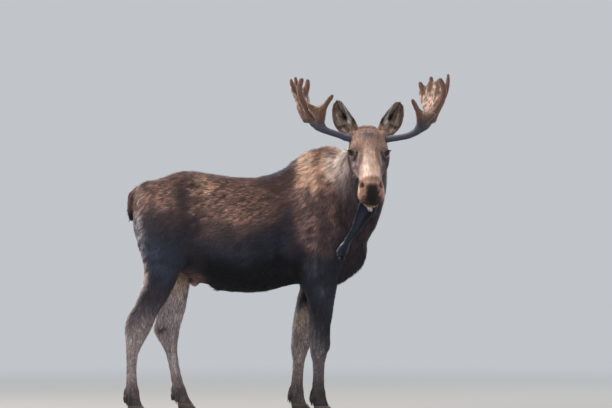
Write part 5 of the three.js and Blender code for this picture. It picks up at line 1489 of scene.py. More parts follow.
def uv_of(R, columns):
    """A root's place on the skin laid flat: each part a column, its length upwards and its girth across."""
    uv = np.zeros((len(R["P"]), 2))
    k = len(columns)
    for i, (name, inner, t0, t1) in enumerate(columns):
        m = R["part"] == ID[name]
        a = R["CO"][:, ID[name], 1]
        if name.startswith("ear"):
            m &= (a > 5) == inner
            g = (np.where(a > 5, a - 10, a) + 1) / 2
        else:
            g = a / (2 * np.pi) + 0.5
        t = (R["CO"][:, ID[name], 0] - t0) / (t1 - t0)
        uv[m, 0] = (i + 0.02 + 0.96 * np.clip(g, 0, 1)[m]) / k
        uv[m, 1] = 0.006 + 0.985 * np.clip(t, 0, 1)[m]
    return uv


WEDGE = np.array([(1, 0, 3), (0, 2, 3), (2, 1, 3), (0, 1, 2)])
LOCK = np.array([(0, 1, 2), (1, 0, 3), (1, 3, 4), (0, 2, 5), (0, 5, 3), (2, 1, 4), (2, 4, 5), (4, 3, 6), (3, 5, 6), (5, 4, 6)])


def add_coat(name, V, faces, per, uv, colour):
    """V: tufts x corners x 3 in raw millimetres."""
    n, k = V.shape[:2]
    F = (faces[None] + (np.arange(n) * k)[:, None, None]).reshape(-1, 3)
    ob = mesh_of(name, to_row(V.reshape(-1, 3)), F, False)
    paint(ob, colour.reshape(-1, 3))
    layer = ob.data.uv_layers.new(name="OFBake", do_init=False)
    loops = np.ascontiguousarray(uv.reshape(-1, 2)[F.ravel()], np.float32)
    layer.uv.foreach_set("vector", loops.ravel())
    ob.data.materials.append(COAT)
    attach(ob, "root")
    return ob


def turned(F, N, spread, n):
    """The flow turned by a random angle in the skin's plane."""
    a = rng.normal(0, spread, n)[:, None]
    return F * np.cos(a) + np.cross(N, F) * np.sin(a)


def tufts(name, R, length, width, lift, columns, gain=1.0, spread=0.16, ridge=0.22, tip=(1.0, 1.3), speckle=0.18, flecks=0.0):
    n = len(R["P"])
    P, N = R["P"], R["N"]
    d = turned(R["F"], N, spread, n)
    s = np.cross(d, N)
    L = length * (0.72 + 0.56 * rng.random(n))
    Wd = width * (0.75 + 0.5 * rng.random(n))
    H = Wd * ridge
    e = np.clip(lift * (0.55 + 0.9 * rng.random(n)), 0, 0.95)
    tipv = d * np.sqrt(1 - e * e)[:, None] + N * e[:, None]
    base = P - N * (0.12 * L * e + 0.4)[:, None]
    V = np.stack([
        base - s * (Wd / 2)[:, None],
        base + s * (Wd / 2)[:, None],
        base + N * H[:, None] + d * (0.06 * L)[:, None],
        base + tipv * L[:, None],
    ], 1)
    c = linear(markings_and_painted_light(P, N, R["W"], R["EACH"], R["CO"])) * gain
    g = smooth(0.02, 0.10, c @ np.array([0.3, 0.6, 0.1]))
    f = np.exp(rng.normal(0, 1, n) * (speckle * (0.6 + 0.9 * g)))[:, None]
    if flecks:
        m = rng.random(n) < flecks * (0.25 + g)
        f[m] *= 1.2 + 0.6 * rng.random(m.sum())[:, None]
    c = c * f
    lo, hi = tip
    q = np.exp(rng.normal(0, 1, n) * (0.12 + 0.30 * g))[:, None]
    C = np.stack([c * 0.72, c * 0.72, c * lo * q**-0.4, c * hi * q], 1).astype(np.float32)
    uv0 = uv_of(R, columns)
    k = 0.0032
    patch = np.array([(-0.5, -0.5), (0.5, -0.5), (0.12, -0.1), (0.0, 0.6)]) * k
    uv = np.clip(uv0[:, None] + patch[None], 0.0005, 0.9995)
    return add_coat(name, V, WEDGE, 4, uv, np.clip(C, 0, 1))


def locks(name, R, length, width, lift, columns, fall=0.5, gain=1.0, spread=0.2, tip=(1.0, 1.3), speckle=0.2):
    """Longer hair: a tapering lock that bends over half way along."""
    n = len(R["P"])
    P, N = R["P"], R["N"]
    d = turned(R["F"], N, spread, n)
    s = np.cross(d, N)
    L = length * (0.65 + 0.7 * rng.random(n))
    Wd = width * (0.7 + 0.6 * rng.random(n))
    e = np.clip(lift * (0.6 + 0.8 * rng.random(n)), 0, 0.97)
    g = np.array([0, 0, -1.0])
    d1 = d * np.sqrt(1 - e * e)[:, None] + N * e[:, None]
    d2 = unit(d1 * 0.9 + d * 0.25 + g * fall - N * (0.35 * e)[:, None])
    base = P - N * 1.5
    mid = base + d1 * (0.5 * L)[:, None]
    end = mid + d2 * (0.5 * L)[:, None]
    up = N
    h = Wd * 0.35
    V = np.stack([
        base - s * (Wd / 2)[:, None],
        base + s * (Wd / 2)[:, None],
        base + up * h[:, None],
        mid - s * (Wd * 0.42)[:, None],
        mid + s * (Wd * 0.42)[:, None],
        mid + up * (h * 0.9)[:, None],
        end,
    ], 1)
    c = linear(markings_and_painted_light(P, N, R["W"], R["EACH"], R["CO"])) * gain
    c = c * np.exp(rng.normal(0, speckle, n))[:, None]
    lo, hi = tip
    C = np.stack([c * 0.7] * 3 + [c * lo] * 3 + [c * hi], 1).astype(np.float32)
    uv0 = uv_of(R, columns)
    patch = np.array([(-0.5, -0.5), (0.5, -0.5), (0.08, -0.4), (-0.45, 0.1), (0.45, 0.1), (0.08, 0.2), (0, 0.6)]) * 0.0032
    uv = np.clip(uv0[:, None] + patch[None], 0.0005, 0.9995)
    return add_coat(name, V, LOCK, 7, uv, np.clip(C, 0, 1))


MANY = 1.0
ONE = np.ones(len(TRI))
px, py, pz = TRI_AT.T
TRI_N = unit(sum(SKIN_N[TRI[:, k]] for k in range(3)))
is_trunk = TRI_PART == ID["trunk"]
LEGS = [(k, False, 74, 1300) for k in ("fore_r", "fore_l", "hind_r", "hind_l")]
BODY = [("trunk", False, -760, 790), ("neck", False, 0, 1), ("head", False, -30, 640)] + LEGS
for name, lo, hi, count in (("coat_rump", -2000, -270, 36000), ("coat_barrel", -270, 190, 36000), ("coat_shoulder", 190, 2000, 38000)):
    R = roots(is_trunk & (px >= lo) & (px < hi), ONE, int(count * MANY))
    z = R["P"][:, 2]
    L = mix(40, 48, smooth(1450, 1600, z)) + 10 * smooth(960, 860, z)
    near = np.linalg.norm(R["P"] - np.array([-346.0, 0.0, 868.0]), axis=1)
    L = L * mix(0.22, 1.0, smooth(40, 230, near))
    tufts(name, R, L, 6.9, np.clip(R["D"] / L * 0.95, 0, 0.6) * smooth(30, 250, near), [("trunk", False, max(lo, -760), min(hi, 790))], flecks=0.06)
R = roots(TRI_PART == ID["neck"], ONE, int(38000 * MANY))
L = 54 + 0 * R["P"][:, 2]
tufts("coat_neck", R, L, 6.7, np.clip(R["D"] / L, 0, 0.6), [("neck", False, 0.0, 1.0)], flecks=0.08)
for name, keys, count in (("coat_fore", ("fore_r", "fore_l"), 28000), ("coat_hind", ("hind_r", "hind_l"), 34000)):
    sel = np.isin(TRI_PART, [ID[k] for k in keys])
    w = np.where(TRI_AT[:, 2] < 420, 1.7, 1.0)
    R = roots(sel, w, int(count * MANY))
    z = R["P"][:, 2]
    L = mix(16, 38, smooth(150, 850, z))
    Wd = mix(4.0, 6.8, smooth(150, 850, z))
    tufts(name, R, L, Wd, np.clip(R["D"] / L * 0.95, 0, 0.5), [(k, False, 74, 1300) for k in keys], spread=0.12, flecks=0.05)
# the face: short and flat
sel = TRI_PART == ID["head"]
hs = head_local(TRI_AT)[0]
w = mix(1.0, 1.8, smooth(150, 500, hs))
R = roots(sel, w, int(45000 * MANY))
s, u, v = head_local(R["P"])
L = mix(19, 7.0, smooth(80, 520, s))
Wd = mix(3.6, 2.0, smooth(80, 520, s))
eye = np.minimum(np.linalg.norm(R["P"] - EYES[0], axis=1), np.linalg.norm(R["P"] - EYES[1], axis=1))
bare = (eye > 29.0) & (np.minimum(eye_local(R["P"], 0)[4], eye_local(R["P"], 1)[4]) > 10.0)
L = L * mix(0.4, 1.0, smooth(28, 56, eye))
R = {k: a[bare] for k, a in R.items()}
tufts("coat_head", R, L[bare], Wd[bare], np.clip(R["D"] / L[bare] * 0.8, 0, 0.4), [("head", False, -30, 640)], spread=0.13, speckle=0.12)
# ears: short outside, longer and laid outwards inside
sel = np.isin(TRI_PART, [ID["ear_r"], ID["ear_l"]])
R = roots(sel, ONE, int(15000 * MANY))
inside = np.where(R["part"] == ID["ear_r"], R["CO"][:, ID["ear_r"], 1] > 5, R["CO"][:, ID["ear_l"], 1] > 5)
tt = np.where(R["part"] == ID["ear_r"], R["CO"][:, ID["ear_r"], 0], R["CO"][:, ID["ear_l"], 0])
aa = np.where(R["part"] == ID["ear_r"], R["CO"][:, ID["ear_r"], 1], R["CO"][:, ID["ear_l"], 1])
rim = np.abs(np.where(inside, aa - 10, aa)) * 3.2 / (2.5 - 1.6 * np.clip(tt * 1.25, 0, 1) ** 0.7)
edge = smooth(0.72, 0.98, np.maximum(rim, tt))
L = mix(np.where(inside, 15.0, 11.0), 10.0, edge)
tufts("coat_ears", R, L, np.where(inside, 2.6, 3.0), mix(np.where(inside, 0.24, 0.12), 0.08, edge), [(k, i, 0.0, 1.0) for k in ("ear_r", "ear_l") for i in (False, True)], spread=0.26, tip=(1.0, 1.35), speckle=0.22)
# tail and bell: tight falling locks
R = roots((TRI_PART == ID["tail"]) & (pz < 1478), ONE, int(2200 * MANY))
locks("coat_tail", R, 38.0, 6.6, 0.10, [("tail", False, 0, 1)], fall=0.4, spread=0.12)
R = roots(TRI_PART == ID["bell"], ONE, int(7500 * MANY))
L = 34 + 26 * smooth(0.85, 1.0, R["CO"][:, ID["bell"], 0])
tufts("coat_bell", R, L, 5.2, 0.09, [("bell", False, 0, 1)], spread=0.07, speckle=0.2, tip=(1.0, 1.2))
# longer hair: the crest of the hump and neck, the throat and chest, the belly, the rear fringe of the haunches, the
# backs of the legs, the fetlocks and pasterns, the chin and the crown
N_ = TRI_N
hv = head_local(TRI_AT)
LONG = (
    ("hair_crest", (is_trunk & (px > 180) | (TRI_PART == ID["neck"])) & (N_[:, 2] > 0.62), 3400, 50.0, 6.5, 0.13, 0.15, 0.16),
    ("hair_throat", (TRI_PART == ID["neck"]) & (N_[:, 2] < 0.35), 3600, 70.0, 7.0, 0.14, 0.55, 0.16),
    ("hair_chest", is_trunk & (px > 560) & (pz < 1420), 2600, 58.0, 6.5, 0.14, 0.6, 0.16),
    ("hair_belly", is_trunk & (N_[:, 2] < -0.45) & (px < 420) & (np.hypot(px + 346, pz - 868) > 80), 3000, 46.0, 6.0, 0.16, 0.25, 0.18),
    ("hair_haunch", (is_trunk | (TRI_PART == ID["hind_r"]) | (TRI_PART == ID["hind_l"])) & (N_[:, 0] < -0.55) & (pz > 760) & (pz < 1420), 3200, 44.0, 5.6, 0.16, 0.5, 0.16),
    ("hair_legs", np.isin(TRI_PART, [ID[k] for k in ("fore_r", "fore_l", "hind_r", "hind_l")]) & (N_[:, 0] < -0.35) & (pz < 900) & (pz > 120), 3800, 26.0, 4.4, 0.14, 0.5, 0.16),
    ("hair_fetlock", np.isin(TRI_PART, [ID[k] for k in ("fore_r", "fore_l", "hind_r", "hind_l")]) & (N_[:, 0] < -0.25) & (pz > 128) & (pz < 215), 1800, 44.0, 4.2, 0.24, 0.9, 0.2),
    ("hair_pastern", np.isin(TRI_PART, [ID[k] for k in ("fore_r", "fore_l", "hind_r", "hind_l")]) & (pz < 128), 2800, 26.0, 3.6, 0.12, 0.5, 0.2),
    ("hair_chin", (TRI_PART == ID["head"]) & (hv[2] < -92) & (hv[0] > 330), 1200, 17.0, 2.4, 0.2, 0.5, 0.2),
    ("hair_crown", (TRI_PART == ID["head"]) & (hv[0] < 70) & (hv[2] > 30), 1500, 26.0, 4.2, 0.22, 0.1, 0.26),
)
for name, sel, count, length, width, lift, fall, spread in LONG:
    often = smooth(70, 330, np.hypot(px + 346, pz - 868)) if name == "hair_belly" else ONE
    R = roots(sel, often, int(count * MANY))
    locks(name, R, length, width, lift, BODY, fall=fall, spread=spread)
# the pale tuft under the lips
R = roots((TRI_PART == ID["head"]) & (np.abs(hv[1] + 15) < 7) & (hv[2] < -88) & (hv[0] > 545) & (hv[0] < 600), ONE, int(70 * MANY))
locks("hair_tuft", R, 42.0, 2.0, 0.9, BODY, fall=0.9, gain=2.4, spread=0.3)
lens = [eye_local(TRI_AT, k) for k in (0, 1)]
lash = np.zeros(len(TRI), bool)
for x, y, z, r, l in lens:
    lash |= (TRI_PART == ID["head"]) & (l > 0.5) & (l < 4.5) & (y > 1.0) & (z > 4) & (r < 40) & (x > -13)
R = roots(lash, ONE, int(260 * MANY))
for k, m in enumerate((R["P"][:, 0] < HEAD_AT[0], R["P"][:, 0] >= HEAD_AT[0])):
    R["F"][m] = unit(EYE_AXIS[k] * 0.9 + EYE_LONG[k] * 0.35 - EYE_TALL[k] * 0.25)
    R["N"][m] = EYE_TALL[k]
locks("hair_lash", R, 14.0, 1.3, 0.05, BODY, fall=0.25, gain=0.5, spread=0.22)
say("coat", len(bpy.data.meshes))


# ------------------------------------------------------------------ antlers in velvet
def chain(path, per=4, blunt=True):
    """Short cones along a smooth curve through [x, y, z, radius] rows; the last one's ball ends where the path does."""
    p = np.array(path, float)
    many = catmull(p[:, :3], np.linspace(0, 1, 400))
    left = np.cumsum(np.linalg.norm(np.diff(many[::-1], axis=0), axis=1))
    end = 1 - (np.searchsorted(left, p[-1, 3]) / 399.0 if blunt else 0.0)
    n = (len(p) - 1) * per + 1
    u = np.linspace(0, end, n)
    c = catmull(p[:, :3], u)
    r = at(dense([[i, q] for i, q in enumerate(p[:, 3])], 200), u * (len(p) - 1))[0]
    return c, r


def plate(spec):
    rows = spec["path"]
    loft = Curved([[*r[:3], r[3], r[4]] for r in rows], EZ, lambda r: (r[0], r[1], r[1], 2.3, 0.0, 0.0), 40)
    S = np.array(spec["spread"], float)
    loft.U = unit(S - loft.T * (loft.T @ S)[:, None])
    loft.V = np.cross(loft.T, loft.U)
    return loft


class Antler:
    def __init__(self, spec):
        self.limbs = [chain(spec["beam"], blunt=False), chain(spec["front"])] + [chain(p) for p in spec["tines"] + spec["fork"]]
        self.plates = [plate(spec["palm"]), plate(spec["web"])]

    def value(self, P, more=False):
        F = np.full(len(P), 300.0)
        best = np.full(len(P), 1e9)
        flow = np.zeros((len(P), 3))
        kind = np.zeros(len(P))
        along = np.zeros(len(P))
        for i, (c, r) in enumerate(self.limbs):
            lo, hi = c.min(0) - 70, c.max(0) + 70
            near = ((P > lo) & (P < hi)).all(1)
            if not near.any():
                continue
            Q = P[near]
            f = np.full(len(Q), 300.0)
            fl = np.zeros((len(Q), 3))
            al = np.zeros(len(Q))
            for k in range(len(c) - 1):
                d = capsule(Q, c[k], c[k + 1], r[k], r[k + 1])
                m = d < f
                f[m] = d[m]
                fl[m] = unit(c[k + 1] - c[k])
                al[m] = k / (len(c) - 1)
            F[near] = smin(F[near], f, 16.0)
            if more:
                b = f < best[near]
                idx = np.nonzero(near)[0][b]
                best[idx], flow[idx], kind[idx], along[idx] = f[b], fl[b], 0 if i == 0 else 1, al[b]
        for i, l in enumerate(self.plates):
            f, t, _ = l.value(P)
            F = smin(F, f, 32.0)
            if more:
                b = f < best
                j = np.clip((t * (l.count - 1)).astype(int), 0, l.count - 1)
                fan = unit(l.T[j] + l.U[j] * (((P - l.c[j]) * l.U[j]).sum(1) / 150.0)[:, None])
                best[b], flow[b], kind[b], along[b] = f[b], fan[b], 2 + i, t[b]
        # soft lumps in the velvet, and the surface drawn in a little
        F = F - 1.6 * (noise(P, 26, 41) - 0.5) - 1.0 * (noise(P, 11, 43) - 0.5) + 1.4
        return (F, flow, kind, along) if more else F


FUZZ = []
VELVET = hide_material("velvet", 0.85, 0.45, bump=0.35, scale=320.0, contrast=0.22, specular=0.2, sheen_tint=(1.0, 0.91, 0.84, 1))
for side, spec in (("right", ANTLER_RIGHT), ("left", ANTLER_LEFT)):
    antler = Antler(spec)
    pts = np.array([p[:3] for k in ("beam", "front") for p in spec[k]] + [p for k in ("tines", "fork") for row in spec[k] for p in np.array(row)[:, :3].tolist()])
    pts = np.concatenate([pts, np.array([p[:3] for k in ("palm", "web") for p in spec[k]["path"]])])
    lo, hi = pts.min(0) - 60, pts.max(0) + 60
    step = 5.2
    V, Q = nets(*[np.arange(lo[k], hi[k], step) for k in range(3)], antler.value, antler.value, 4, 1.15)
    for _ in range(2):
        F = antler.value(V)
        g = gradient(V, F, antler.value, 0.8)
        V = V - g * np.clip(F / np.maximum((g * g).sum(1), 0.05), -3, 3)[:, None]
    keep = largest_piece(V, Q)
    new = np.cumsum(keep) - 1
    Q, V = new[Q[keep[Q].all(1)]], V[keep]
    F, flow, kind, along = antler.value(V, True)
    N = unit(gradient(V, F, antler.value, 0.8))
    # velvet: greyer on the beam, brown on the tines and front, paler and veined on the palm
    vein = noise(np.stack([V[:, 0] / 9, V[:, 1] / 9, V[:, 2] / 34], 1), 1.0, 51) - 0.5
    C = np.tile(tone(112, 84, 70), (len(V), 1))
    wide = 26 * (noise(V, 40, 53) - 0.5)
    palm = (kind == 2) * smooth(0.08, 0.35, along)
    C = over(C, tone(152, 128, 117), palm * 0.85)
    out = N[:, 0] * (-1 if side == "right" else 1)
    C = over(C, tone(176, 150, 136), smooth(0.0, 0.7, out) * band(V[:, 2], 1945, 2060, 30) * 0.75)
    C = C * (1 + 1.0 * palm[:, None] * vein[:, None] + 0.25 * vein[:, None])
    C = over(C, tone(92, 64, 53), (kind == 1) * smooth(0.2, -0.6, N[:, 1]) * 0.75)
    # lighter on the faces turned backwards: a painted rim of backlight
    C = over(C, tone(158, 130, 114), (kind == 1) * smooth(-0.2, 0.5, N[:, 1]) * 0.6)
    slate = smooth(1965, 1862, V[:, 2] + wide)
    C = over(C, tone(64, 66, 80), slate * 0.94)
    # painted sheen on the top of the beam and painted shade on its underside
    C = over(C, tone(114, 115, 128), slate * smooth(0.1, 0.8, N[:, 2]) * 0.55)
    C = over(C, tone(44, 37, 44), slate * smooth(-0.1, -0.8, N[:, 2]) * 0.7)
    ob = mesh_of("antler_" + side, to_row(V), Q)
    paint(ob, linear(np.clip(C, 5, 250)))
    FUZZ.append((V, Q, N, flow, C))
    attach(ob, "root")
    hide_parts(*["antler_%s_%s" % (side, k) for k in ("beam", "palm", "brow")])
    ob.data.materials.append(VELVET)
parts = []
cells = []
for col, (V, Q, N, flow, C) in enumerate(FUZZ):
    T = np.concatenate([Q[:, [0, 1, 2]], Q[:, [0, 2, 3]]])
    a, b, c = (V[T[:, k]] for k in range(3))
    A = np.linalg.norm(np.cross(b - a, c - a), axis=1)
    n = int(9500 * MANY)
    cum = np.cumsum(A)
    f = np.clip(np.searchsorted(cum, (np.arange(n) + rng.random(n)) / n * cum[-1]), 0, len(T) - 1)
    w = rng.dirichlet((1, 1, 1), n)
    mixv = lambda X: sum(X[T[f, k]] * w[:, k : k + 1] for k in range(3))
    P, NN, FL, CC = mixv(V), unit(mixv(N)), mixv(flow), mixv(C)
    d = FL - NN * (FL * NN).sum(1, keepdims=True)
    d = unit(d + 1e-3)
    ang = rng.normal(0, 0.35, n)[:, None]
    d = d * np.cos(ang) + np.cross(NN, d) * np.sin(ang)
    s = np.cross(d, NN)
    L = 7.0 * (0.6 + 0.8 * rng.random(n))
    W = 2.3 * (0.7 + 0.6 * rng.random(n))
    e = np.clip(0.30 + 0.16 * rng.normal(0, 1, n), 0.05, 0.75)
    tip = d * np.sqrt(1 - e * e)[:, None] + NN * e[:, None]
    base = P - NN * 0.8
    X = np.stack([base - s * W[:, None] / 2, base + s * W[:, None] / 2, base + NN * (0.3 * W)[:, None] + d * 0.5, base + tip * L[:, None]], 1)
    col_ = linear(np.clip(CC, 5, 250)) * np.exp(rng.normal(0, 0.16, n))[:, None]
    # the fuzz's tips far paler: a painted sheen that lights the antlers' outlines
    CX = np.stack([col_ * 0.8, col_ * 0.8, col_, col_ * 1.7 + 0.05], 1)
    # each antler laid flat: height upwards, turn round its own upright axis across
    mid = V.mean(0)
    uu = (np.arctan2(P[:, 1] - mid[1], P[:, 0] - mid[0]) / (2 * np.pi) + 0.5) * 0.94 + 0.03
    vv = (P[:, 2] - V[:, 2].min()) / np.ptp(V[:, 2]) * 0.97 + 0.015
    uv = np.stack([(col + uu) / 2, vv], 1)[:, None] + np.array([(-0.5, -0.5), (0.5, -0.5), (0.12, -0.1), (0.0, 0.6)]) * 0.0032
    parts.append((X, uv, CX))
X, uv, CX = (np.concatenate([p[k] for p in parts]) for k in range(3))
fuzz = add_coat("coat_velvet", X, WEDGE, 4, np.clip(uv, 0.0005, 0.9995), np.clip(CX, 0, 1).astype(np.float32))
say("antlers")

# ------------------------------------------------------------------ eyes
EYE = new_material("eye_wet")
m, nt, b = EYE
tint = node(nt, "ShaderNodeVertexColor", layer_name="tint")
co = node(nt, "ShaderNodeTexCoord")
fibre = node(nt, "ShaderNodeTexNoise", Scale=900.0, Detail=2.0)
nt.links.new(co.outputs["Object"], fibre.inputs["Vector"])
rr = node(nt, "ShaderNodeMapRange")
rr.inputs["To Min"].default_value, rr.inputs["To Max"].default_value = 0.7, 1.3
nt.links.new(fibre.outputs["Fac"], rr.inputs["Value"])
mul = node(nt, "ShaderNodeVectorMath", operation="SCALE")
nt.links.new(tint.outputs["Color"], mul.inputs[0])
nt.links.new(rr.outputs["Result"], mul.inputs["Scale"])
nt.links.new(mul.outputs["Vector"], b.inputs["Base Color"])
b.inputs["Roughness"].default_value = 0.06
b.inputs["Specular IOR Level"].default_value = 0.4
b.inputs["Coat Weight"].default_value = 0.5
b.inputs["Coat Roughness"].default_value = 0.03
for side, E, A, L, T in zip(("right", "left"), EYES, EYE_AXIS, EYE_LONG, EYE_TALL):
    rings, seg = 40, 56
    th = np.linspace(0, np.pi, rings + 1)[1:-1]
    ph = np.linspace(0, 2 * np.pi, seg, endpoint=False)
    th, ph = np.meshgrid(th, ph, indexing="ij")
    th, ph = th.ravel(), ph.ravel()
    th, ph = np.append(th, [0, np.pi]), np.append(ph, [0, 0])
    R = EYE_R - 0.4 + 1.0 * np.exp(-((th / 0.55) ** 4))
    dirs = A * np.cos(th)[:, None] + L * (np.sin(th) * np.cos(ph))[:, None] + T * (np.sin(th) * np.sin(ph))[:, None]
    V = E + dirs * R[:, None]
    Q = []
    for i in range(rings - 2):
        j = np.arange(seg)
        Q.append(np.stack([i * seg + j, (i + 1) * seg + j, (i + 1) * seg + (j + 1) % seg, i * seg + (j + 1) % seg], 1))
    Q = np.concatenate(Q)
    j = np.arange(seg)
    n0, n1 = len(V) - 2, len(V) - 1
    F3 = np.concatenate([np.stack([Q[:, 0], Q[:, 1], Q[:, 2]], 1), np.stack([Q[:, 0], Q[:, 2], Q[:, 3]], 1),
                         np.stack([np.full(seg, n0), j, (j + 1) % seg], 1),
                         np.stack([np.full(seg, n1), (rings - 2) * seg + (j + 1) % seg, (rings - 2) * seg + j], 1)])
    x, y = np.sin(th) * np.cos(ph), np.sin(th) * np.sin(ph)
    a = np.hypot(x / 0.40, y / 0.22)
    ir = np.hypot(x, y) / 0.66
    C = np.tile(tone(48, 34, 28), (len(V), 1))
    C = over(C, tone(66, 42, 26), smooth(1.05, 0.9, ir))
    C = over(C, tone(30, 20, 15), smooth(0.8, 1.0, ir) * smooth(1.15, 1.0, ir))
    C = over(C, tone(5, 5, 8), smooth(1.1, 0.95, a))
    # painted glint near the top of the eye
    C = over(C, tone(170, 176, 190), np.exp(-(((y - 0.40 + 0.10 * x) / 0.07) ** 2 + ((x + 0.12) / 0.15) ** 2)) * 0.85)
    ob = mesh_of("eyeball_" + side, to_row(V), F3)
    nrm = np.cross(V[F3[0, 1]] - V[F3[0, 0]], V[F3[0, 2]] - V[F3[0, 0]])
    if nrm @ (V[F3[0, 0]] - E) < 0:
        ob.data.flip_normals()
    paint(ob, linear(C))
    ob.data.materials.append(m)
    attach(ob, "root")
    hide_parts("eye_" + side)

# ------------------------------------------------------------------ claws
HORN, nt, b = new_material("horn")
tint = node(nt, "ShaderNodeVertexColor", layer_name="tint")
co = node(nt, "ShaderNodeTexCoord")
ring = node(nt, "ShaderNodeTexNoise", Scale=60.0, Detail=4.0)
mp = node(nt, "ShaderNodeMapping")
mp.inputs["Scale"].default_value = (0.6, 0.6, 5.0)
nt.links.new(co.outputs["Object"], mp.inputs["Vector"])
nt.links.new(mp.outputs["Vector"], ring.inputs["Vector"])
rr = node(nt, "ShaderNodeMapRange")
rr.inputs["To Min"].default_value, rr.inputs["To Max"].default_value = 0.55, 1.5
nt.links.new(ring.outputs["Fac"], rr.inputs["Value"])
mul = node(nt, "ShaderNodeVectorMath", operation="SCALE")
nt.links.new(tint.outputs["Color"], mul.inputs[0])
nt.links.new(rr.outputs["Result"], mul.inputs["Scale"])
nt.links.new(mul.outputs["Vector"], b.inputs["Base Color"])
b.inputs["Roughness"].default_value = 0.5
b.inputs["Specular IOR Level"].default_value = 0.4
bm = node(nt, "ShaderNodeBump", Strength=0.4, Distance=0.002)
nt.links.new(ring.outputs["Fac"], bm.inputs["Height"])
nt.links.new(bm.outputs["Normal"], b.inputs["Normal"])


def close_rings(rows, k):
    """Quads between rings of k points, with a fan at either end; two extra points are the fans' middles."""
    Q = []
    j = np.arange(k)
    for i in range(rows - 1):
        a, b2 = i * k + j, i * k + (j + 1) % k
        Q.append(np.stack([a, b2, b2 + k], 1))
        Q.append(np.stack([a, b2 + k, a + k], 1))
    m0, m1 = rows * k, rows * k + 1
    Q.append(np.stack([np.full(k, m0), (j + 1) % k, j], 1))
    Q.append(np.stack([np.full(k, m1), (rows - 1) * k + j, (rows - 1) * k + (j + 1) % k], 1))
    return np.concatenate(Q)


def claw(name, x, y, side, size):
    Lc, Wc, H = 152.0 * size, 60.0 * size, 88.0
    k, rows = 44, 16
    a = np.linspace(0, 2 * np.pi, k, endpoint=False)
    c, s = np.cos(a), np.sin(a)
    V = []
    qs = np.array([0.0, 0.012, 0.05, *np.linspace(0.12, 1.0, rows - 3)])
    for q in qs:
        ln, wd = Lc * (1 - 0.36 * q), Wc * (1 - 0.1 * q)
        inset = {0.0: 3.2, 0.012: 1.0}.get(float(q), 0.0) + 0.5 * math.sin(q * 46) * (q > 0.05)
        fore = np.where(c > 0, 0.62, 0.38)
        pxx = x - 33 * q + c * (ln * fore - inset)
        full = np.where(c > 0, np.sqrt(np.maximum(0, 1 - (0.9 * np.maximum(c, 0)) ** 2.2)), np.sqrt(np.maximum(0, 1 - c * c)))
        half = (wd / 2 - inset) * np.minimum(full, 1.15 * np.abs(s) + 0.02)
        inner = np.sign(s) != np.sign(side)
        half = np.where(inner, half * 0.72, half)
        V.append(np.stack([pxx, y + np.sign(s) * half, np.full(k, q * H)], 1))
    V = np.concatenate(V + [np.array([[x, y, 0.0], [x - 33, y, H]])])
    T = close_rings(rows, k)
    ob = mesh_of(name, to_row(V), T)
    z = V[:, 2]
    C = np.tile(tone(52, 45, 42), (len(V), 1))
    C = over(C, tone(88, 74, 64), smooth(52, 84, z))
    C = over(C, tone(74, 66, 60), smooth(14, 0, z) * 0.6)
    paint(ob, linear(C))
    return ob


def dewclaw(name, x, y, z, side):
    prof = np.array([(0.3, -26), (3.6, -25.4), (6, -23.6), (8.6, -18.5), (11, -12), (13.6, -3), (15, 5), (14.6, 13), (12.2, 19), (8, 22.4), (0.3, 24)], float)
    k = 24
    a = np.linspace(0, 2 * np.pi, k, endpoint=False)
    V = np.concatenate([np.stack([r * np.sin(a), np.full(k, h), r * np.cos(a)], 1) for r, h in prof])
    V = np.concatenate([V, [[0, -26, 0], [0, 24, 0]]])
    rx, ry, rz = math.radians(90), math.radians(28), math.radians(side * 8)
    X = np.array([[1, 0, 0], [0, math.cos(rx), -math.sin(rx)], [0, math.sin(rx), math.cos(rx)]])
    Y = np.array([[math.cos(ry), 0, math.sin(ry)], [0, 1, 0], [-math.sin(ry), 0, math.cos(ry)]])
    Z = np.array([[math.cos(rz), -math.sin(rz), 0], [math.sin(rz), math.cos(rz), 0], [0, 0, 1]])
    V = V @ (X @ Y @ Z).T * np.array([1, 0.95, 1]) + np.array([x, y, z])
    ob = mesh_of(name, to_row(V), close_rings(len(prof), k))
    paint(ob, linear(np.tile(tone(50, 43, 40), (len(V), 1))))
    return ob


for legname, rows, side in (("foreleg_right", FORE_RIGHT, -1), ("foreleg_left", FORE_LEFT, 1), ("hindleg_right", HIND_RIGHT, -1), ("hindleg_left", HIND_LEFT, 1)):
    table = dense([[r[0], *r[1:4]] for r in rows])
    front, rear, off = (float(v[0]) for v in at(table, np.array([96.0])))
    cx = (front + rear) / 2 + 25
    size = 1.04 if legname.startswith("fore") else 0.98
    _f, rear2, off2 = (float(v[0]) for v in at(table, np.array([168.0])))
    for which, dirn in (("outer", 1), ("inner", -1)):
        yy = side * (off + dirn * (60 * 0.36 + 2) * size)
        made = claw(legname + "_hoof_" + which, cx, yy, side * dirn, size)
        made2 = dewclaw(legname + "_spur_" + which, rear2 + 4, side * (off2 + dirn * 26), 132, side * dirn)
        for ob, cad in ((made, legname + "_claw_" + which), (made2, legname + "_dewclaw_" + which)):
            ob.data.materials.append(HORN)
            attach(ob, "root")
            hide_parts(cad)
say("claws")


# ------------------------------------------------------------------ floor, light and camera
scene = bpy.context.scene
WORLD = (0.86, 0.90, 0.95)
world = bpy.data.worlds.new("studio")
scene.world = world
world.use_nodes = True
world.node_tree.nodes["Background"].inputs["Color"].default_value = (*WORLD, 1)
world.node_tree.nodes["Background"].inputs["Strength"].default_value = 0.62

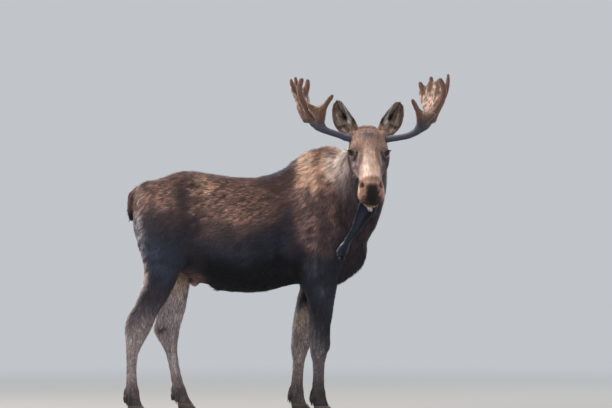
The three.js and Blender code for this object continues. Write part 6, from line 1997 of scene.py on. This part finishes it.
# a plain pale floor that melts into the backdrop well away from the animal
k, rr = 96, np.array([0.0, 3, 6, 10, 16, 26, 45, 80, 180])
ang = np.linspace(0, 2 * np.pi, k, endpoint=False)
fv = np.concatenate([np.stack([r * np.cos(ang), r * np.sin(ang), np.zeros(k)], 1) for r in rr[1:]])
ff = [[i * k + j, (i + 1) * k + j, (i + 1) * k + (j + 1) % k, i * k + (j + 1) % k] for i in range(len(rr) - 2) for j in range(k)]
ff.append(list(range(k)))
me = bpy.data.meshes.new("floor")
me.from_pydata(fv.tolist(), [], ff)
floor = bpy.data.objects.new("floor", me)
scene.collection.objects.link(floor)
fm = bpy.data.materials.new("floor_paint")
fm.use_nodes = True
nt = fm.node_tree
fb = nt.nodes["Principled BSDF"]
fb.inputs["Base Color"].default_value = (0.34, 0.335, 0.33, 1)
fb.inputs["Roughness"].default_value = 0.95
fb.inputs["Specular IOR Level"].default_value = 0.1
co = nt.nodes.new("ShaderNodeTexCoord")
ln = nt.nodes.new("ShaderNodeVectorMath")
ln.operation = "LENGTH"
nt.links.new(co.outputs["Object"], ln.inputs[0])
mr = nt.nodes.new("ShaderNodeMapRange")
mr.interpolation_type = "SMOOTHSTEP"
mr.inputs["From Min"].default_value, mr.inputs["From Max"].default_value = 1.6, 9.0
nt.links.new(ln.outputs["Value"], mr.inputs["Value"])
em = nt.nodes.new("ShaderNodeEmission")
em.inputs["Color"].default_value = (*WORLD, 1)
em.inputs["Strength"].default_value = 0.62
ms = nt.nodes.new("ShaderNodeMixShader")
nt.links.new(mr.outputs["Result"], ms.inputs["Fac"])
nt.links.new(fb.outputs["BSDF"], ms.inputs[1])
nt.links.new(em.outputs["Emission"], ms.inputs[2])
nt.links.new(ms.outputs["Shader"], nt.nodes["Material Output"].inputs["Surface"])
me.materials.append(fm)


def area(name, place, aim, size, power, colour=(1, 1, 1)):
    l = bpy.data.lights.new(name, "AREA")
    l.shape = "RECTANGLE"
    l.size, l.size_y = size
    l.energy = power
    l.color = colour
    o = bpy.data.objects.new(name, l)
    o.location = place
    o.rotation_euler = (Vector(aim) - Vector(place)).to_track_quat("-Z", "Y").to_euler()
    scene.collection.objects.link(o)
    return o


area("sun", (-3.4, 1.2, 6.4), (0, 0, 1.2), (2.0, 2.0), 560, (1.0, 0.94, 0.86))
area("front", (1.2, -7.5, 3.4), (0.2, 0, 1.2), (5.0, 3.0), 210, (0.93, 0.96, 1.0))
area("rim", (3.6, 4.6, 4.2), (0.2, 0, 1.3), (2.5, 2.0), 170, (1.0, 0.98, 0.95))

cam = bpy.data.cameras.new("camera")
cam.sensor_width = 36.0
cam.lens = 36.0 * 30.0 / 3.978
cam.clip_start, cam.clip_end = 1.0, 200.0
camera = bpy.data.objects.new("camera", cam)
# The view is drawn in millimetres from 30 m off: along +Y, the horizon at 1.56 m, tipped down a little.
camera.location = ((58 * 6.5 + SHIFT[0]) / 1000.0, (-30000 + SHIFT[1]) / 1000.0, 1.56)
camera.rotation_euler = (math.radians(90) - math.atan(26 * 6.5 / 30000), 0, 0)
scene.collection.objects.link(camera)
scene.camera = camera
scene.view_settings.view_transform = "Standard"
